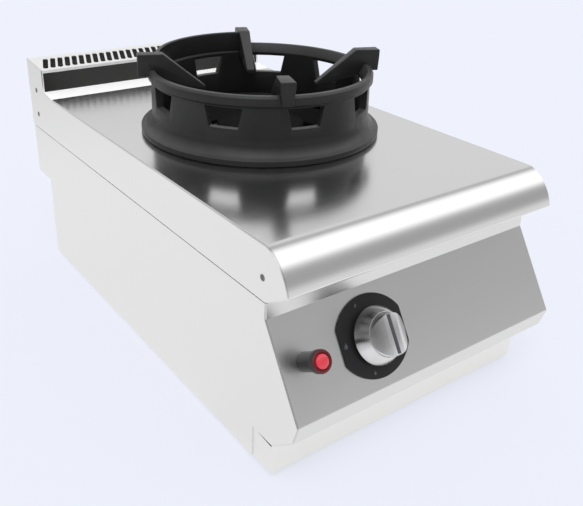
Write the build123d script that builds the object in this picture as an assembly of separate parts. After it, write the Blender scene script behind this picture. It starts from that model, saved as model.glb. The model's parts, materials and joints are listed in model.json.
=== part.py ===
"""Countertop gas wok range: one burner, cast wok ring, slanted control panel, flue riser.

Millimetres. Z is up, the front faces -Y, X runs left to right as seen from the front.
The origin is on the floor, under the middle of the range.
"""
import os
from math import cos, radians, sin, sqrt

from build123d import *

# ---------------------------------------------------------------- overall size
WIDTH = 400.0
BACK_Y = 368.8            # back face of the flue riser
SHEET = 1.5               # stainless sheet
HALF = WIDTH / 2
INNER = HALF - SHEET      # inner face of the side sheets

# ---------------------------------------------------------------- profile, front to back
BODY_BACK_Y = BACK_Y - 5.5
RECESS_Y = BACK_Y - 56.0          # face of the service recess low in the back
RISER_FRONT_Y = BACK_Y - 62.0
RAMP_Y = BACK_Y - 97.0            # where the deck starts to rise to the flue
RING_Y = BACK_Y - 362.4           # burner and wok ring axis
NOSE_START_Y = BACK_Y - 663.0
NOSE_MID_Y = BACK_Y - 686.2
NOSE_TIP_Y = BACK_Y - 700.4
PANEL_TOP_Y = BACK_Y - 664.0
PANEL_FOOT_Y = BACK_Y - 723.6
LIP_Y = BACK_Y - 716.0
PLINTH_Y = BACK_Y - 681.0
PLINTH_RETURN_Y = BACK_Y - 644.5  # back edge of the notch that holds the plinth

# ---------------------------------------------------------------- profile, bottom to top
BASE_Z = 8.0                      # the body stands this far off the floor on its feet
NOTCH_Z = 49.0
LIP_Z = 77.0
PANEL_FOOT_Z = 100.0
RECESS_TOP_Z = 136.0
PANEL_TOP_Z = 196.0
SIDE_TOP_Z = 215.0
SEAM_Z = 216.5
NOSE_TIP_Z = 238.4
NOSE_MID_Z = 262.5
DECK_Z = 278.0
RAMP_TOP_Z = 282.0
FLUE_MOUTH_TOP_Z = 312.0
RISER_FRONT_Z = 317.0
RISER_BACK_Z = 323.5
RISER_FLOOR_Z = 221.0

# ---------------------------------------------------------------- flue grille
SLOT_COUNT = 32
SLOT_PITCH = 11.75
SLOT_LENGTH = 46.0
SLOT_WIDTH = 7.8
SLOT_TURN = 19.5                  # slots lean over in plan
SLOT_MID_Y = BACK_Y - 34.3

# ---------------------------------------------------------------- wok ring
RING_TURN = 21.6                  # the ring stands turned by this about its axis
RIM_RADIUS = 151.0
FLANGE_RADIUS = 162.4
RING_HEIGHT = 86.0
GUARD_HEIGHT = 104.5
WINDOW_ANGLES = (29.2, 69.2, 112.6, 156.0, 196.0, 236.0, 276.0, 312.6, 349.2)
WINDOW_LOW = 43.5
WINDOW_HIGH = 69.5
WINDOW_TOP_ANGLE = 18.8
WINDOW_LOW_ANGLE = 14.6
LUG_COUNT = 4
LUG_HEIGHT = 106.5
LUG_OUTER_RADIUS = 164.0
LUG_FLAT_RADIUS = 131.0
LUG_TIP_RADIUS = 76.0
LUG_OUTER_WIDTH = 18.6
LUG_HOOK_WIDTH = 12.5             # width at the lower end of the outer hook
LUG_TIP_WIDTH = 11.0

# ---------------------------------------------------------------- burner
WELL_HOLE_RADIUS = 121.0
WELL_FLANGE_RADIUS = 139.0
BODY_RADIUS = 62.0
BODY_LOW_Z = 206.0
BODY_TOP_Z = 262.0
NECK_Z = 234.0                    # axis of the mixing tube
NECK_END_Y = RING_Y - 92.0
CROWN_TOP_Z = 284.0
PORT_COUNT = 36
BOX_HALF = 165.0                  # burner box, half of its side
BOX_FLOOR_Z = 90.0
SHIELD_Y = RING_Y - 208.0
TUBE_RADIUS = 19.0
TUBE_FRONT_Y = SHIELD_Y - 38.0

# ---------------------------------------------------------------- controls on the slanted panel
PANEL_RISE = PANEL_TOP_Z - PANEL_FOOT_Z
PANEL_RUN = PANEL_TOP_Y - PANEL_FOOT_Y
PANEL_LENGTH = sqrt(PANEL_RISE ** 2 + PANEL_RUN ** 2)
PANEL_OUT = (0, -PANEL_RISE / PANEL_LENGTH, PANEL_RUN / PANEL_LENGTH)
PANEL = Plane(origin=(0, PANEL_TOP_Y, PANEL_TOP_Z), x_dir=(1, 0, 0), z_dir=PANEL_OUT)
KNOB_X = -78.3
KNOB_DOWN = 56.0                  # distance below the panel's upper bend
KNOB_RADIUS = 32.2
KNOB_BASE = 9.0
KNOB_FACE = 28.0                  # height where the skirt meets the grip
KNOB_FACE_RADIUS = 24.0
GRIP_TOP = 38.0
GRIP_WIDTH = 15.0                 # across the two ridges of the grip
BEZEL_WIDTH = 90.0
BEZEL_ARC_RADIUS = 52.0
BEZEL_ARC_OFFSET = 6.0
IGNITER_X = -169.5
IGNITER_DOWN = 53.8
IGNITER_BARREL = 9.4
IGNITER_TOP = 32.5
BUTTON_RADIUS = 7.7
FIT = 0.05                        # radial clearance of a running fit

# ---------------------------------------------------------------- gas supply and feet
INLET_X = 100.0
INLET_Z = 62.0
THREAD_RADIUS = 10.48             # G 1/2 male
FOOT_X = 155.0
FOOT_FRONT_Y = PLINTH_Y + 42.0
FOOT_BACK_Y = RECESS_Y - 51.0

parts = {}


# ================================================================ helpers
def block(low, high):
    """A box from its lowest corner to its highest corner."""
    low, high = Vector(*low), Vector(*high)
    size = high - low
    return Pos((low + high) * 0.5) * Box(size.X, size.Y, size.Z)


def yz_plate(points, x_low, x_high):
    """A plate with a (y, z) outline, between two X planes."""
    face = make_face(Plane.YZ * Polyline(*points, close=True))
    return extrude(Pos(x_low, 0, 0) * face, x_high - x_low, dir=(1, 0, 0))


def sheet_points(path, thickness):
    """Outline of a sheet folded along a path, its thickness on the path's right."""
    points = [Vector(*point) for point in path]
    runs = [(b - a).normalized() for a, b in zip(points, points[1:])]
    normals = [Vector(run.Y, -run.X) for run in runs]
    inner = [points[0] + normals[0] * thickness]
    for point, before, after in zip(points[1:-1], normals, normals[1:]):
        inner.append(point + (before + after) * (thickness / (1 + before.dot(after))))
    inner.append(points[-1] + normals[-1] * thickness)
    return [(p.X, p.Y) for p in points + inner[::-1]]


def folded_sheet(path, half_width=INNER):
    """A sheet folded along a (y, z) path, as wide as the inside of the body."""
    return yz_plate(sheet_points(path, SHEET), -half_width, half_width)


def turned(points):
    """A solid of revolution about Z from an (r, z) outline."""
    return revolve(make_face(Plane.XZ * Polyline(*points, close=True)), Axis.Z, 360)


def tube(points, outer, bore, bend):
    """A round tube along straight runs joined by tangent arcs."""
    path = FilletPolyline(*points, radius=bend)
    section = Circle(outer) - Circle(bore) if bore else Circle(outer)
    return sweep(Plane(origin=path @ 0, z_dir=path % 0) * section, path=path)


def cylinder_y(x, y_low, y_high, z, radius):
    """A cylinder along Y."""
    return Pos(x, (y_low + y_high) / 2, z) * Rot(90, 0, 0) * Cylinder(radius, y_high - y_low)


def on_panel(x, down):
    """A plane on the control panel's face, Z pointing out of it."""
    return Plane(origin=PANEL.from_local_coords(Vector(x, -down, 0)), x_dir=(1, 0, 0), z_dir=PANEL_OUT)


def rod(radius, low, high):
    """A cylinder on the local Z axis between two heights."""
    return Pos(0, 0, (low + high) / 2) * Cylinder(radius, high - low)


def cone(low_radius, high_radius, low, high):
    """A cone on the local Z axis between two heights."""
    return Pos(0, 0, (low + high) / 2) * Cone(low_radius, high_radius, high - low)


def hexagon(across_flats, low, high):
    """A hexagonal prism on the local Z axis."""
    return Pos(0, 0, low) * extrude(RegularPolygon(across_flats / 2, 6, major_radius=False), high - low)


def coil(radius, wire, low, high, turns):
    """A compression spring on the local Z axis."""
    pitch = (high - low - 2 * wire) / turns
    line = Pos(0, 0, low + wire) * Helix(pitch=pitch, height=pitch * turns, radius=radius)
    return sweep(Plane(origin=line @ 0, z_dir=line % 0) * Circle(wire), path=line, is_frenet=True)


def mirrored_pair(solid):
    """The solid and its mirror image across the middle plane."""
    return [solid, mirror(solid, Plane.YZ)]


KNOB = on_panel(KNOB_X, KNOB_DOWN)
IGNITER = on_panel(IGNITER_X, IGNITER_DOWN)
DECK_CENTRE = Pos(0, RING_Y, DECK_Z)
SIDE_SCREWS = ((BACK_Y - 659.3, 242.0), (BACK_Y - 32.0, 279.0), (BACK_Y - 31.0, 240.0))
FEET = {
    "front_left": (-FOOT_X, FOOT_FRONT_Y),
    "front_right": (FOOT_X, FOOT_FRONT_Y),
    "rear_left": (-FOOT_X, FOOT_BACK_Y),
    "rear_right": (FOOT_X, FOOT_BACK_Y),
}
LEAD_WINDOW = ((-85, -20), (170, 200))    # x and z of the opening for pilot pipe and leads


# ================================================================ casing
def side_panel():
    """Right side sheet with the wedge profile and its turned-in flanges."""
    outline = [
        (RECESS_Y, BASE_Z), (RECESS_Y, RECESS_TOP_Z), (BODY_BACK_Y, RECESS_TOP_Z),
        (BODY_BACK_Y, SIDE_TOP_Z), (PANEL_TOP_Y, SIDE_TOP_Z), (PANEL_TOP_Y, PANEL_TOP_Z),
        (PANEL_FOOT_Y, PANEL_FOOT_Z), (LIP_Y, LIP_Z), (PLINTH_Y, NOTCH_Z),
        (PLINTH_RETURN_Y, NOTCH_Z), (PLINTH_RETURN_Y, BASE_Z),
    ]
    plate = yz_plate(outline, INNER, HALF)
    flange_x = INNER - 18.5
    top = block((flange_x, PANEL_TOP_Y + 5, SIDE_TOP_Z - SHEET), (INNER, BODY_BACK_Y - SHEET, SIDE_TOP_Z))
    low = block((flange_x, PLINTH_RETURN_Y + 14, BASE_Z), (INNER, RECESS_Y - SHEET, BASE_Z + SHEET))
    back_low = RECESS_TOP_Z + SHEET
    back = block((flange_x, BODY_BACK_Y - 2 * SHEET, back_low), (INNER, BODY_BACK_Y - SHEET, SIDE_TOP_Z))
    recess = block((flange_x, RECESS_Y - 2 * SHEET, BASE_Z), (INNER, RECESS_Y - SHEET, RECESS_TOP_Z - SHEET))
    return plate + top + low + back + recess


def rear_panels():
    """Lower sheet with the recess shelf, and the upper back sheet."""
    lower = folded_sheet([
        (RECESS_Y, BASE_Z + SHEET), (RECESS_Y, RECESS_TOP_Z), (BODY_BACK_Y - SHEET, RECESS_TOP_Z),
    ][::-1])
    lower -= cylinder_y(INLET_X, RECESS_Y - 10, RECESS_Y + 10, INLET_Z, THREAD_RADIUS - 0.1)
    upper = block((-INNER, BODY_BACK_Y - SHEET, RECESS_TOP_Z), (INNER, BODY_BACK_Y, SIDE_TOP_Z))
    for x in (-185, 185):
        for z in (30, 120):
            lower -= cylinder_y(x, RECESS_Y - 4, RECESS_Y + 4, z, 2)
        for z in (150, 200):
            upper -= cylinder_y(x, BODY_BACK_Y - 4, BODY_BACK_Y + 4, z, 2)
    return lower, upper


def rear_screws():
    """Pan head screws that hold both back sheets to the side flanges."""
    screws = []
    for x in (-185, 185):
        for face_y, heights in ((RECESS_Y, (30, 120)), (BODY_BACK_Y, (150, 200))):
            for z in heights:
                screw = cylinder_y(x, face_y, face_y + 2.2, z, 4)
                screw += cylinder_y(x, face_y - SHEET, face_y, z, 2)
                screws.append(screw - cylinder_y(x, face_y + 1, face_y + 3, z, 1.3))
    return screws


def base_pan():
    """Bottom tray with turned-up edges, air slots and foot holes."""
    half = INNER - SHEET
    front, back = PLINTH_Y + SHEET, RECESS_Y - 2 * SHEET
    low = BASE_Z + SHEET
    pan = block((-half, front, low), (half, back, low + SHEET + 13))
    pan -= block((-half + SHEET, front + SHEET, low + SHEET), (half - SHEET, back - SHEET, low + 20))
    for x in (-60, 0, 60):
        for row in range(5):
            y = RING_Y - 100 + row * 50
            pan -= Pos(x, y, low) * extrude(SlotOverall(44, 8), 10, both=True)
    for x, y in FEET.values():
        pan -= Pos(x, y, low) * Cylinder(5.6, 10)
    return pan


def plinth():
    """Front kick channel with its side returns, cut lower towards the front, and its top flange."""
    front, back, top = PLINTH_Y, PLINTH_RETURN_Y + 12, NOTCH_Z
    channel = block((-INNER, front, BASE_Z), (INNER, back, top))
    channel -= block((-INNER + SHEET, front + SHEET, BASE_Z - 1), (INNER - SHEET, back + 1, top - SHEET))
    channel -= block((-INNER + SHEET, front + 25, BASE_Z), (INNER - SHEET, back + 1, top + 1))
    gap = [(front + SHEET, top + 1), (front + SHEET, top - 4.5), (back + 1, top - 0.5), (back + 1, top + 1)]
    return channel - yz_plate(gap, -INNER - 1, -INNER + SHEET) - yz_plate(gap, INNER - SHEET, INNER + 1)


def control_panel():
    """Front sheet: upright strip, slanted face, lip and underside, in one folded piece."""
    panel = folded_sheet([
        (PANEL_TOP_Y, SIDE_TOP_Z), (PANEL_TOP_Y, PANEL_TOP_Z), (PANEL_FOOT_Y, PANEL_FOOT_Z),
        (LIP_Y, LIP_Z), (PLINTH_Y, NOTCH_Z), (PLINTH_Y + 22, NOTCH_Z),
    ][::-1])
    bend = [e for e in panel.edges().filter_by(Axis.X)
            if abs(e.center().Z - PANEL_FOOT_Z) < 0.1 and abs(e.center().Y - PANEL_FOOT_Y) < 0.1]
    panel = fillet(bend, 1.2)
    panel -= KNOB * rod(9, -5, 5)
    return panel - IGNITER * rod(IGNITER_BARREL + 0.1, -5, 5)


def hob_outline():
    """(y, z) outline that the deck sheet and the end plates share, closed along the seam."""
    return (
        Polyline((RISER_FRONT_Y, SEAM_Z), (RISER_FRONT_Y, RAMP_TOP_Z), (RAMP_Y, DECK_Z),
                 (NOSE_START_Y, DECK_Z))
        + ThreePointArc((NOSE_START_Y, DECK_Z), (NOSE_MID_Y, NOSE_MID_Z), (NOSE_TIP_Y, NOSE_TIP_Z))
        + Polyline((NOSE_TIP_Y, NOSE_TIP_Z), (PANEL_TOP_Y, SEAM_Z), (RISER_FRONT_Y, SEAM_Z))
    )


def hob_top():
    """Deck sheet with its rolled nose, ramp to the flue and turned-down ends."""
    outer = make_face(hob_outline())
    inner = offset(outer, amount=-SHEET, kind=Kind.INTERSECTION)
    profile = outer - inner
    profile -= Pos((PANEL_TOP_Y + RISER_FRONT_Y) / 2 + 0.5, SEAM_Z) * Rectangle(
        RISER_FRONT_Y - PANEL_TOP_Y - 2 * SHEET - 1, 4 * SHEET)
    deck = extrude(Pos(-INNER, 0, 0) * (Plane.YZ * profile), 2 * INNER, dir=(1, 0, 0))
    deck -= DECK_CENTRE * Cylinder(WELL_HOLE_RADIUS, 10)
    return deck - block((-152, RISER_FRONT_Y - 5, SEAM_Z - 1), (152, RISER_FRONT_Y + 5, 266))


def hob_side():
    """Right end plate: rolled nose outline in front, side of the flue riser behind."""
    riser = make_face(Polyline(
        (RISER_FRONT_Y, SEAM_Z), (RISER_FRONT_Y, RISER_FRONT_Z), (BACK_Y, RISER_BACK_Z),
        (BACK_Y, RISER_FLOOR_Z), (BODY_BACK_Y, SEAM_Z), close=True))
    plate = extrude(Pos(INNER, 0, 0) * (Plane.YZ * (make_face(hob_outline()) + riser)), SHEET, dir=(1, 0, 0))
    plate -= block((INNER - 1, BACK_Y - SHEET, 236), (HALF + 1, BACK_Y + 1, 272))
    for y, z in SIDE_SCREWS:
        plate -= Pos(INNER, y, z) * Rot(0, 90, 0) * countersunk(0)
    return plate


def countersunk(length):
    """Countersunk screw, head up at the sheet's outer face, with this much shank below."""
    shape = cone(2.1, 3.8, 0, SHEET)
    if length:
        shape += rod(2.1, -length, 0)
        shape -= rod(1.2, SHEET - 1.2, SHEET)
    return shape


def side_screws():
    """Countersunk screws through the end plates."""
    screws = []
    for y, z in SIDE_SCREWS:
        screws += mirrored_pair(Pos(INNER, y, z) * Rot(0, 90, 0) * countersunk(6))
    return screws


def nose_brackets():
    """Angles inside the nose that take the front side screws."""
    y, z = SIDE_SCREWS[0]
    angle = block((INNER - 2, y - 10, z - 8), (INNER, y + 22, z + 8))
    angle += block((INNER - 2, y, z - 8), (INNER, y + 22, DECK_Z - SHEET))
    angle += block((INNER - 22, y, DECK_Z - SHEET - 2), (INNER, y + 22, DECK_Z - SHEET))
    return mirrored_pair(angle - Pos(INNER, y, z) * Rot(0, 90, 0) * rod(2.1, -6, 0))


def deck_ribs():
    """Two stiffening channels under the deck."""
    low, high = DECK_Z - SHEET - 20, DECK_Z - SHEET
    rib = block((183, RING_Y - 250, low), (195, RING_Y + 235, high))
    rib -= block((183 + SHEET, RING_Y - 251, low + SHEET), (196, RING_Y + 236, high + 1))
    return mirrored_pair(rib)


# ================================================================ flue
def flue_riser():
    """Flue housing with the front mouth, slotted sloping top and duct opening."""
    outer = [(RISER_FRONT_Y, RISER_FLOOR_Z), (BACK_Y, RISER_FLOOR_Z),
             (BACK_Y, RISER_BACK_Z), (RISER_FRONT_Y, RISER_FRONT_Z)]
    inner = [(RISER_FRONT_Y + SHEET, RISER_FLOOR_Z + SHEET), (BACK_Y - SHEET, RISER_FLOOR_Z + SHEET),
             (BACK_Y - SHEET, RISER_BACK_Z - SHEET - 0.2),
             (RISER_FRONT_Y + SHEET, RISER_FRONT_Z - SHEET + 0.1)]
    box = yz_plate(outer, -INNER, INNER) - yz_plate(inner, -INNER + SHEET, INNER - SHEET)
    top_edges = [e for e in box.edges().filter_by(Axis.X)
                 if abs(e.center().Z - RISER_FRONT_Z) < 0.1 or abs(e.center().Z - RISER_BACK_Z) < 0.1]
    box = fillet(top_edges, 1.2)
    box -= block((-INNER + SHEET, RISER_FRONT_Y - 1, RAMP_TOP_Z),
                 (INNER - SHEET, RISER_FRONT_Y + 3, FLUE_MOUTH_TOP_Z))
    box -= block((-152, RISER_FRONT_Y - 1, RISER_FLOOR_Z + SHEET), (152, RISER_FRONT_Y + 3, 266))
    first = -SLOT_PITCH * (SLOT_COUNT - 1) / 2
    slot = Rot(0, 0, 90 - SLOT_TURN) * extrude(SlotOverall(SLOT_LENGTH, SLOT_WIDTH), 12, both=True)
    slots = [Pos(first + SLOT_PITCH * k, SLOT_MID_Y, RISER_BACK_Z) * slot for k in range(SLOT_COUNT)]
    box -= slots
    for y, z in SIDE_SCREWS[1:]:
        for side in (1, -1):
            box -= Pos(side * (INNER - SHEET / 2), y, z) * Rot(0, 90, 0) * Cylinder(2.1, 3)
    return box


def flue_duct():
    """Rectangular duct from the burner box into the riser."""
    front, back = RING_Y + BOX_HALF - SHEET, RISER_FRONT_Y + SHEET
    low, high = RISER_FLOOR_Z + 2, 265
    outer = block((-151, front, low), (151, back, high))
    return outer - block((-151 + SHEET, front - 1, low + SHEET), (151 - SHEET, back + 1, high - SHEET))


# ================================================================ burner compartment
def lead_window(y_low, y_high):
    """Opening that the pilot pipe and the two leads share."""
    (x_low, x_high), (z_low, z_high) = LEAD_WINDOW
    return block((x_low, y_low, z_low), (x_high, y_high, z_high))


def burner_box():
    """Open-topped box that hangs under the deck round the burner."""
    top = DECK_Z - SHEET
    front, back = RING_Y - BOX_HALF, RING_Y + BOX_HALF
    box = block((-BOX_HALF, front, BOX_FLOOR_Z), (BOX_HALF, back, top))
    box += block((-BOX_HALF - 14, front, top - SHEET), (BOX_HALF + 14, back, top))
    inner = BOX_HALF - SHEET
    box -= block((-inner, front + SHEET, BOX_FLOOR_Z + SHEET), (inner, back - SHEET, top + 1))
    box -= block((-151, back - 5, RISER_FLOOR_Z + 2), (151, back + 1, 265))
    box -= cylinder_y(0, front - 2, front + 4, NECK_Z, TUBE_RADIUS)
    return box - lead_window(front - 2, front + 4)


def burner_well():
    """Pressed ring that lines the hole in the deck and centres the wok ring."""
    path = [(WELL_FLANGE_RADIUS, SHEET), (119.5, SHEET), (104, -16), (104, -22)]
    return DECK_CENTRE * turned(sheet_points(path[::-1], SHEET))


def heat_shield():
    """Upright plate between the burner box and the gas controls."""
    plate = block((-190, SHIELD_Y, BOX_FLOOR_Z + 2), (190, SHIELD_Y + SHEET, 213))
    tall = block((-60, SHIELD_Y, 213), (60, SHIELD_Y + SHEET, 262))
    plate = plate + tall - cylinder_y(0, SHIELD_Y - 2, SHIELD_Y + 4, NECK_Z, TUBE_RADIUS)
    return plate - lead_window(SHIELD_Y - 2, SHIELD_Y + 4)


def insulation_blanket():
    """Mineral wool slab in front of the burner box."""
    front, back = SHIELD_Y + SHEET, RING_Y - BOX_HALF
    slab = block((-160, front, BOX_FLOOR_Z + 5), (160, back, 212))
    slab -= cylinder_y(0, front - 1, back + 1, NECK_Z, TUBE_RADIUS + 4)
    return slab - lead_window(front - 1, back + 1)


def burner_stand():
    """Bridge that carries the burner over the box floor."""
    floor = BOX_FLOOR_Z + SHEET
    stand = block((-53, RING_Y - 20, BODY_LOW_Z - 3), (53, RING_Y + 20, BODY_LOW_Z))
    for side in (-1, 1):
        x_in, x_out, x_foot = side * 50, side * 53, side * 72
        stand += block((min(x_in, x_out), RING_Y - 20, floor), (max(x_in, x_out), RING_Y + 20, BODY_LOW_Z))
        stand += block((min(x_in, x_foot), RING_Y - 20, floor), (max(x_in, x_foot), RING_Y + 20, floor + 3))
    return stand


def burner_body():
    """Cast mixing chamber with its side neck."""
    shell = Pos(0, RING_Y, 0) * turned([
        (0, BODY_LOW_Z), (50, BODY_LOW_Z), (BODY_RADIUS, BODY_LOW_Z + 10), (BODY_RADIUS, BODY_TOP_Z),
        (0, BODY_TOP_Z)])
    shell += cylinder_y(0, NECK_END_Y, RING_Y - 20, NECK_Z, TUBE_RADIUS + 5)
    shell -= Pos(0, RING_Y, 0) * rod(BODY_RADIUS - 5, BODY_LOW_Z + 8, BODY_TOP_Z + 1)
    return shell - cylinder_y(0, NECK_END_Y - 1, RING_Y, NECK_Z, TUBE_RADIUS)


def burner_crown():
    """Ported flame ring that lifts off the burner body."""
    crown = turned([
        (BODY_RADIUS - 5.5, BODY_TOP_Z - 5), (BODY_RADIUS - 5.5, BODY_TOP_Z), (BODY_RADIUS, BODY_TOP_Z),
        (BODY_RADIUS, BODY_TOP_Z + 5), (BODY_RADIUS - 3, BODY_TOP_Z + 8), (BODY_RADIUS - 3, CROWN_TOP_Z),
        (50, CROWN_TOP_Z), (50, BODY_TOP_Z - 5)])
    port = block((45, -1.4, CROWN_TOP_Z - 12), (70, 1.4, CROWN_TOP_Z + 1))
    ports = [Rot(0, 0, 360 / PORT_COUNT * k) * port for k in range(PORT_COUNT)]
    return Pos(0, RING_Y, 0) * (crown - ports)


def burner_cap():
    """Domed cast cap that sits in the crown."""
    cap = turned([
        (0, CROWN_TOP_Z - 4), (49.5, CROWN_TOP_Z - 4), (49.5, CROWN_TOP_Z), (BODY_RADIUS - 2, CROWN_TOP_Z),
        (BODY_RADIUS - 2, CROWN_TOP_Z + 3), (48, CROWN_TOP_Z + 8), (20, CROWN_TOP_Z + 11),
        (0, CROWN_TOP_Z + 11.5)])
    return Pos(0, RING_Y, 0) * cap


# ================================================================ mixing tube, injector
def end_plate(y_low, y_high, radius, bore):
    """Disc across the mixing tube's mouth with four air windows."""
    disc = cylinder_y(0, y_low, y_high, NECK_Z, radius) - cylinder_y(0, y_low - 1, y_high + 1, NECK_Z, bore)
    for k in range(4):
        angle = radians(45 + 90 * k)
        disc -= cylinder_y(12 * cos(angle), y_low - 1, y_high + 1, NECK_Z + 12 * sin(angle), 4.5)
    return disc


def mixing_tube():
    """Tube from the air shutter to the burner neck, with its end plate."""
    pipe = cylinder_y(0, TUBE_FRONT_Y, NECK_END_Y + 20, NECK_Z, TUBE_RADIUS)
    pipe -= cylinder_y(0, TUBE_FRONT_Y - 1, NECK_END_Y + 21, NECK_Z, TUBE_RADIUS - 2)
    return pipe + end_plate(TUBE_FRONT_Y - 2, TUBE_FRONT_Y, 22, 6)


def air_shutter():
    """Disc that turns on the injector nose to set the air."""
    low = TUBE_FRONT_Y - 4
    disc = end_plate(low, low + 1.5, 22, 5.5 + FIT)
    return disc + block((-4, low - 6, NECK_Z + 18), (4, low + 1.5, NECK_Z + 21))


def injector():
    """Gas jet with its hexagon."""
    body = cylinder_y(0, TUBE_FRONT_Y - 12, TUBE_FRONT_Y + 3, NECK_Z, 5.5)
    hexagon_part = Pos(0, TUBE_FRONT_Y - 24, NECK_Z) * Rot(-90, 0, 0) * hexagon(16, 0, 12)
    body += hexagon_part
    body += cylinder_y(0, TUBE_FRONT_Y - 30, TUBE_FRONT_Y - 24, NECK_Z, 6)
    return body - cylinder_y(0, TUBE_FRONT_Y - 31, TUBE_FRONT_Y + 4, NECK_Z, 1.6)


def injector_bracket():
    """U bracket from the heat shield that holds the injector in line with the tube."""
    front = TUBE_FRONT_Y - 12
    bracket = block((-36, front, NECK_Z - 12), (36, SHIELD_Y, NECK_Z + 12))
    bracket -= block((-36 + SHEET, front + SHEET, NECK_Z - 13), (36 - SHEET, SHIELD_Y + 1, NECK_Z + 13))
    bracket -= cylinder_y(0, front - 1, front + 3, NECK_Z, 5.5)
    for side in (-1, 1):
        low, high = sorted((side * 34.5, side * 50))
        bracket += block((low, SHIELD_Y - SHEET, NECK_Z - 12), (high, SHIELD_Y, NECK_Z + 12))
    return bracket


# ================================================================ gas valve and knob
def valve_taper(height):
    """Radius of the valve's tapered seat at a height on its axis."""
    return 12 + (height + 30) * 0.08


def valve_body():
    """Brass tap body with its seat, spring neck and three connections."""
    body = rod(22, -9, -4.5) + rod(14, -22, -9) + rod(18, -64, -22) + rod(10, -76, -64)
    body += Pos(0, 0, -45) * Rot(0, 90, 0) * rod(8, 0, 32)
    body += Pos(0, 0, -45) * Rot(0, -90, 0) * rod(5, 0, 30)
    body += Pos(0, 0, -50) * Rot(-90, 0, 0) * rod(5, 0, 24)
    body -= rod(10.5, -20.5, 0)
    body -= rod(4 + FIT, -27, -18)
    body -= cone(valve_taper(-60) + FIT, valve_taper(-25.5) + FIT, -60, -25.5)
    body -= rod(6.5, -80, -55)
    body -= Pos(0, 0, -45) * Rot(0, 90, 0) * rod(4, 5, 40)
    return body - Pos(0, 0, -45) * Rot(0, -90, 0) * rod(2, 5, 40)


def valve_plug():
    """Tapered plug, turned by the spindle's tongue."""
    plug = cone(valve_taper(-58), valve_taper(-30), -58, -30)
    plug -= Pos(0, 0, -36) * Box(8.6, 3.4, 14)
    plug -= rod(5, -60, -45)
    return plug - Pos(0, 0, -50) * Rot(0, 90, 0) * rod(3, 0, 20)


def valve_spindle():
    """Round shaft with a flat for the knob, a collar for the spring and a tongue for the plug."""
    shaft = rod(4, -25, 22) + rod(6, -5.4, -3.4) - Pos(0, 5.5, 15) * Box(10, 5, 16)
    return shaft + Pos(0, 0, -30.5) * Box(7, 3, 11)


def spring_seat():
    """Washer that the spring lifts and the spindle turns in."""
    return rod(9.8, -8, -5.5) - rod(4 + FIT, -9, -5)


def control_knob():
    """Satin knob: conical skirt, and a grip with two sloping flanks and a groove between its ridges."""
    knob = turned([(0, KNOB_BASE), (31, KNOB_BASE), (KNOB_RADIUS, KNOB_BASE + 3),
                   (KNOB_FACE_RADIUS, KNOB_FACE), (0, KNOB_FACE)])
    reach, ridge = KNOB_FACE_RADIUS, GRIP_WIDTH / 2
    flanks = make_face(Plane.XZ * Polyline(
        (-reach, KNOB_FACE - 1), (-reach, KNOB_FACE), (-ridge, GRIP_TOP),
        (ridge, GRIP_TOP), (reach, KNOB_FACE), (reach, KNOB_FACE - 1), close=True))
    grip = extrude(flanks, 2 * reach, both=True)
    knob += grip & cone(reach, reach - 1.6, KNOB_FACE - 1, GRIP_TOP)
    knob -= block((-2.5, -30, GRIP_TOP - 1.5), (2.5, 30, GRIP_TOP + 1))
    knob -= rod(26, KNOB_BASE - 1, KNOB_FACE - 11)
    knob += rod(8, KNOB_BASE, KNOB_FACE - 5)
    return knob - (rod(4, 0, 22) - Pos(0, 5.5, 15) * Box(10, 5, 16))


def control_bezel():
    """Black plate behind the knob: two wide arcs cut off by straight sides."""
    outline = Pos(0, -BEZEL_ARC_OFFSET) * Circle(BEZEL_ARC_RADIUS)
    outline &= Pos(0, BEZEL_ARC_OFFSET) * Circle(BEZEL_ARC_RADIUS)
    outline &= Rectangle(BEZEL_WIDTH, 2 * BEZEL_ARC_RADIUS)
    plate = extrude(outline, 4)
    plate = fillet(plate.edges().group_by(Axis.Z)[-1], 1)
    return plate - rod(9, -1, 5)


def valve_bracket():
    """Plate behind the panel that the valve flange is fixed to."""
    plate = Pos(0, 0, -3) * Box(56, 56, 3)
    return plate - rod(11, -6, 0)


# ================================================================ igniter
def igniter_body():
    """Long collar with a wider head in front of the panel, and the barrel of the push igniter behind it."""
    head = IGNITER_TOP - 7
    body = rod(IGNITER_BARREL, -40, 0) + rod(10.4, 0, head - 1.5)
    body += cone(10.4, 12.2, head - 1.5, head) + rod(12.2, head, IGNITER_TOP)
    return body - rod(BUTTON_RADIUS + 0.5, -25, IGNITER_TOP + 1)


def igniter_button():
    """Domed red cap with its stem."""
    return rod(BUTTON_RADIUS, -8, IGNITER_TOP + 1) + cone(BUTTON_RADIUS, 5, IGNITER_TOP + 1, IGNITER_TOP + 3)


# ================================================================ gas pipes, pilot, leads
def along(plane, x, y, z):
    """A point given in a control's own frame."""
    point = plane.from_local_coords(Vector(x, y, z))
    return (point.X, point.Y, point.Z)


def around_burner(angle, radius):
    """A point beside the burner at an angle from +X."""
    return radius * cos(radians(angle)), RING_Y + radius * sin(radians(angle))


PILOT_XY = around_burner(-135, 73)
ELECTRODE_XY = around_burner(-153, 73)
COUPLE_XY = around_burner(-117, 73)


def pilot_bracket():
    """Small shelf on the burner body for pilot, electrode and thermocouple."""
    shelf = Pos(0, RING_Y, 0) * (Rot(0, 0, -135) * block((BODY_RADIUS - 8, -31, 236), (82, 31, 239)))
    shelf -= Pos(0, RING_Y, 0) * rod(BODY_RADIUS, 230, 245)
    shelf -= cylinder_y(0, NECK_END_Y, RING_Y, NECK_Z, TUBE_RADIUS + 5)
    for (x, y), radius in ((PILOT_XY, 5), (ELECTRODE_XY, 3.5), (COUPLE_XY, 3)):
        shelf -= Pos(x, y, 0) * rod(radius, 230, 245)
    return shelf


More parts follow.
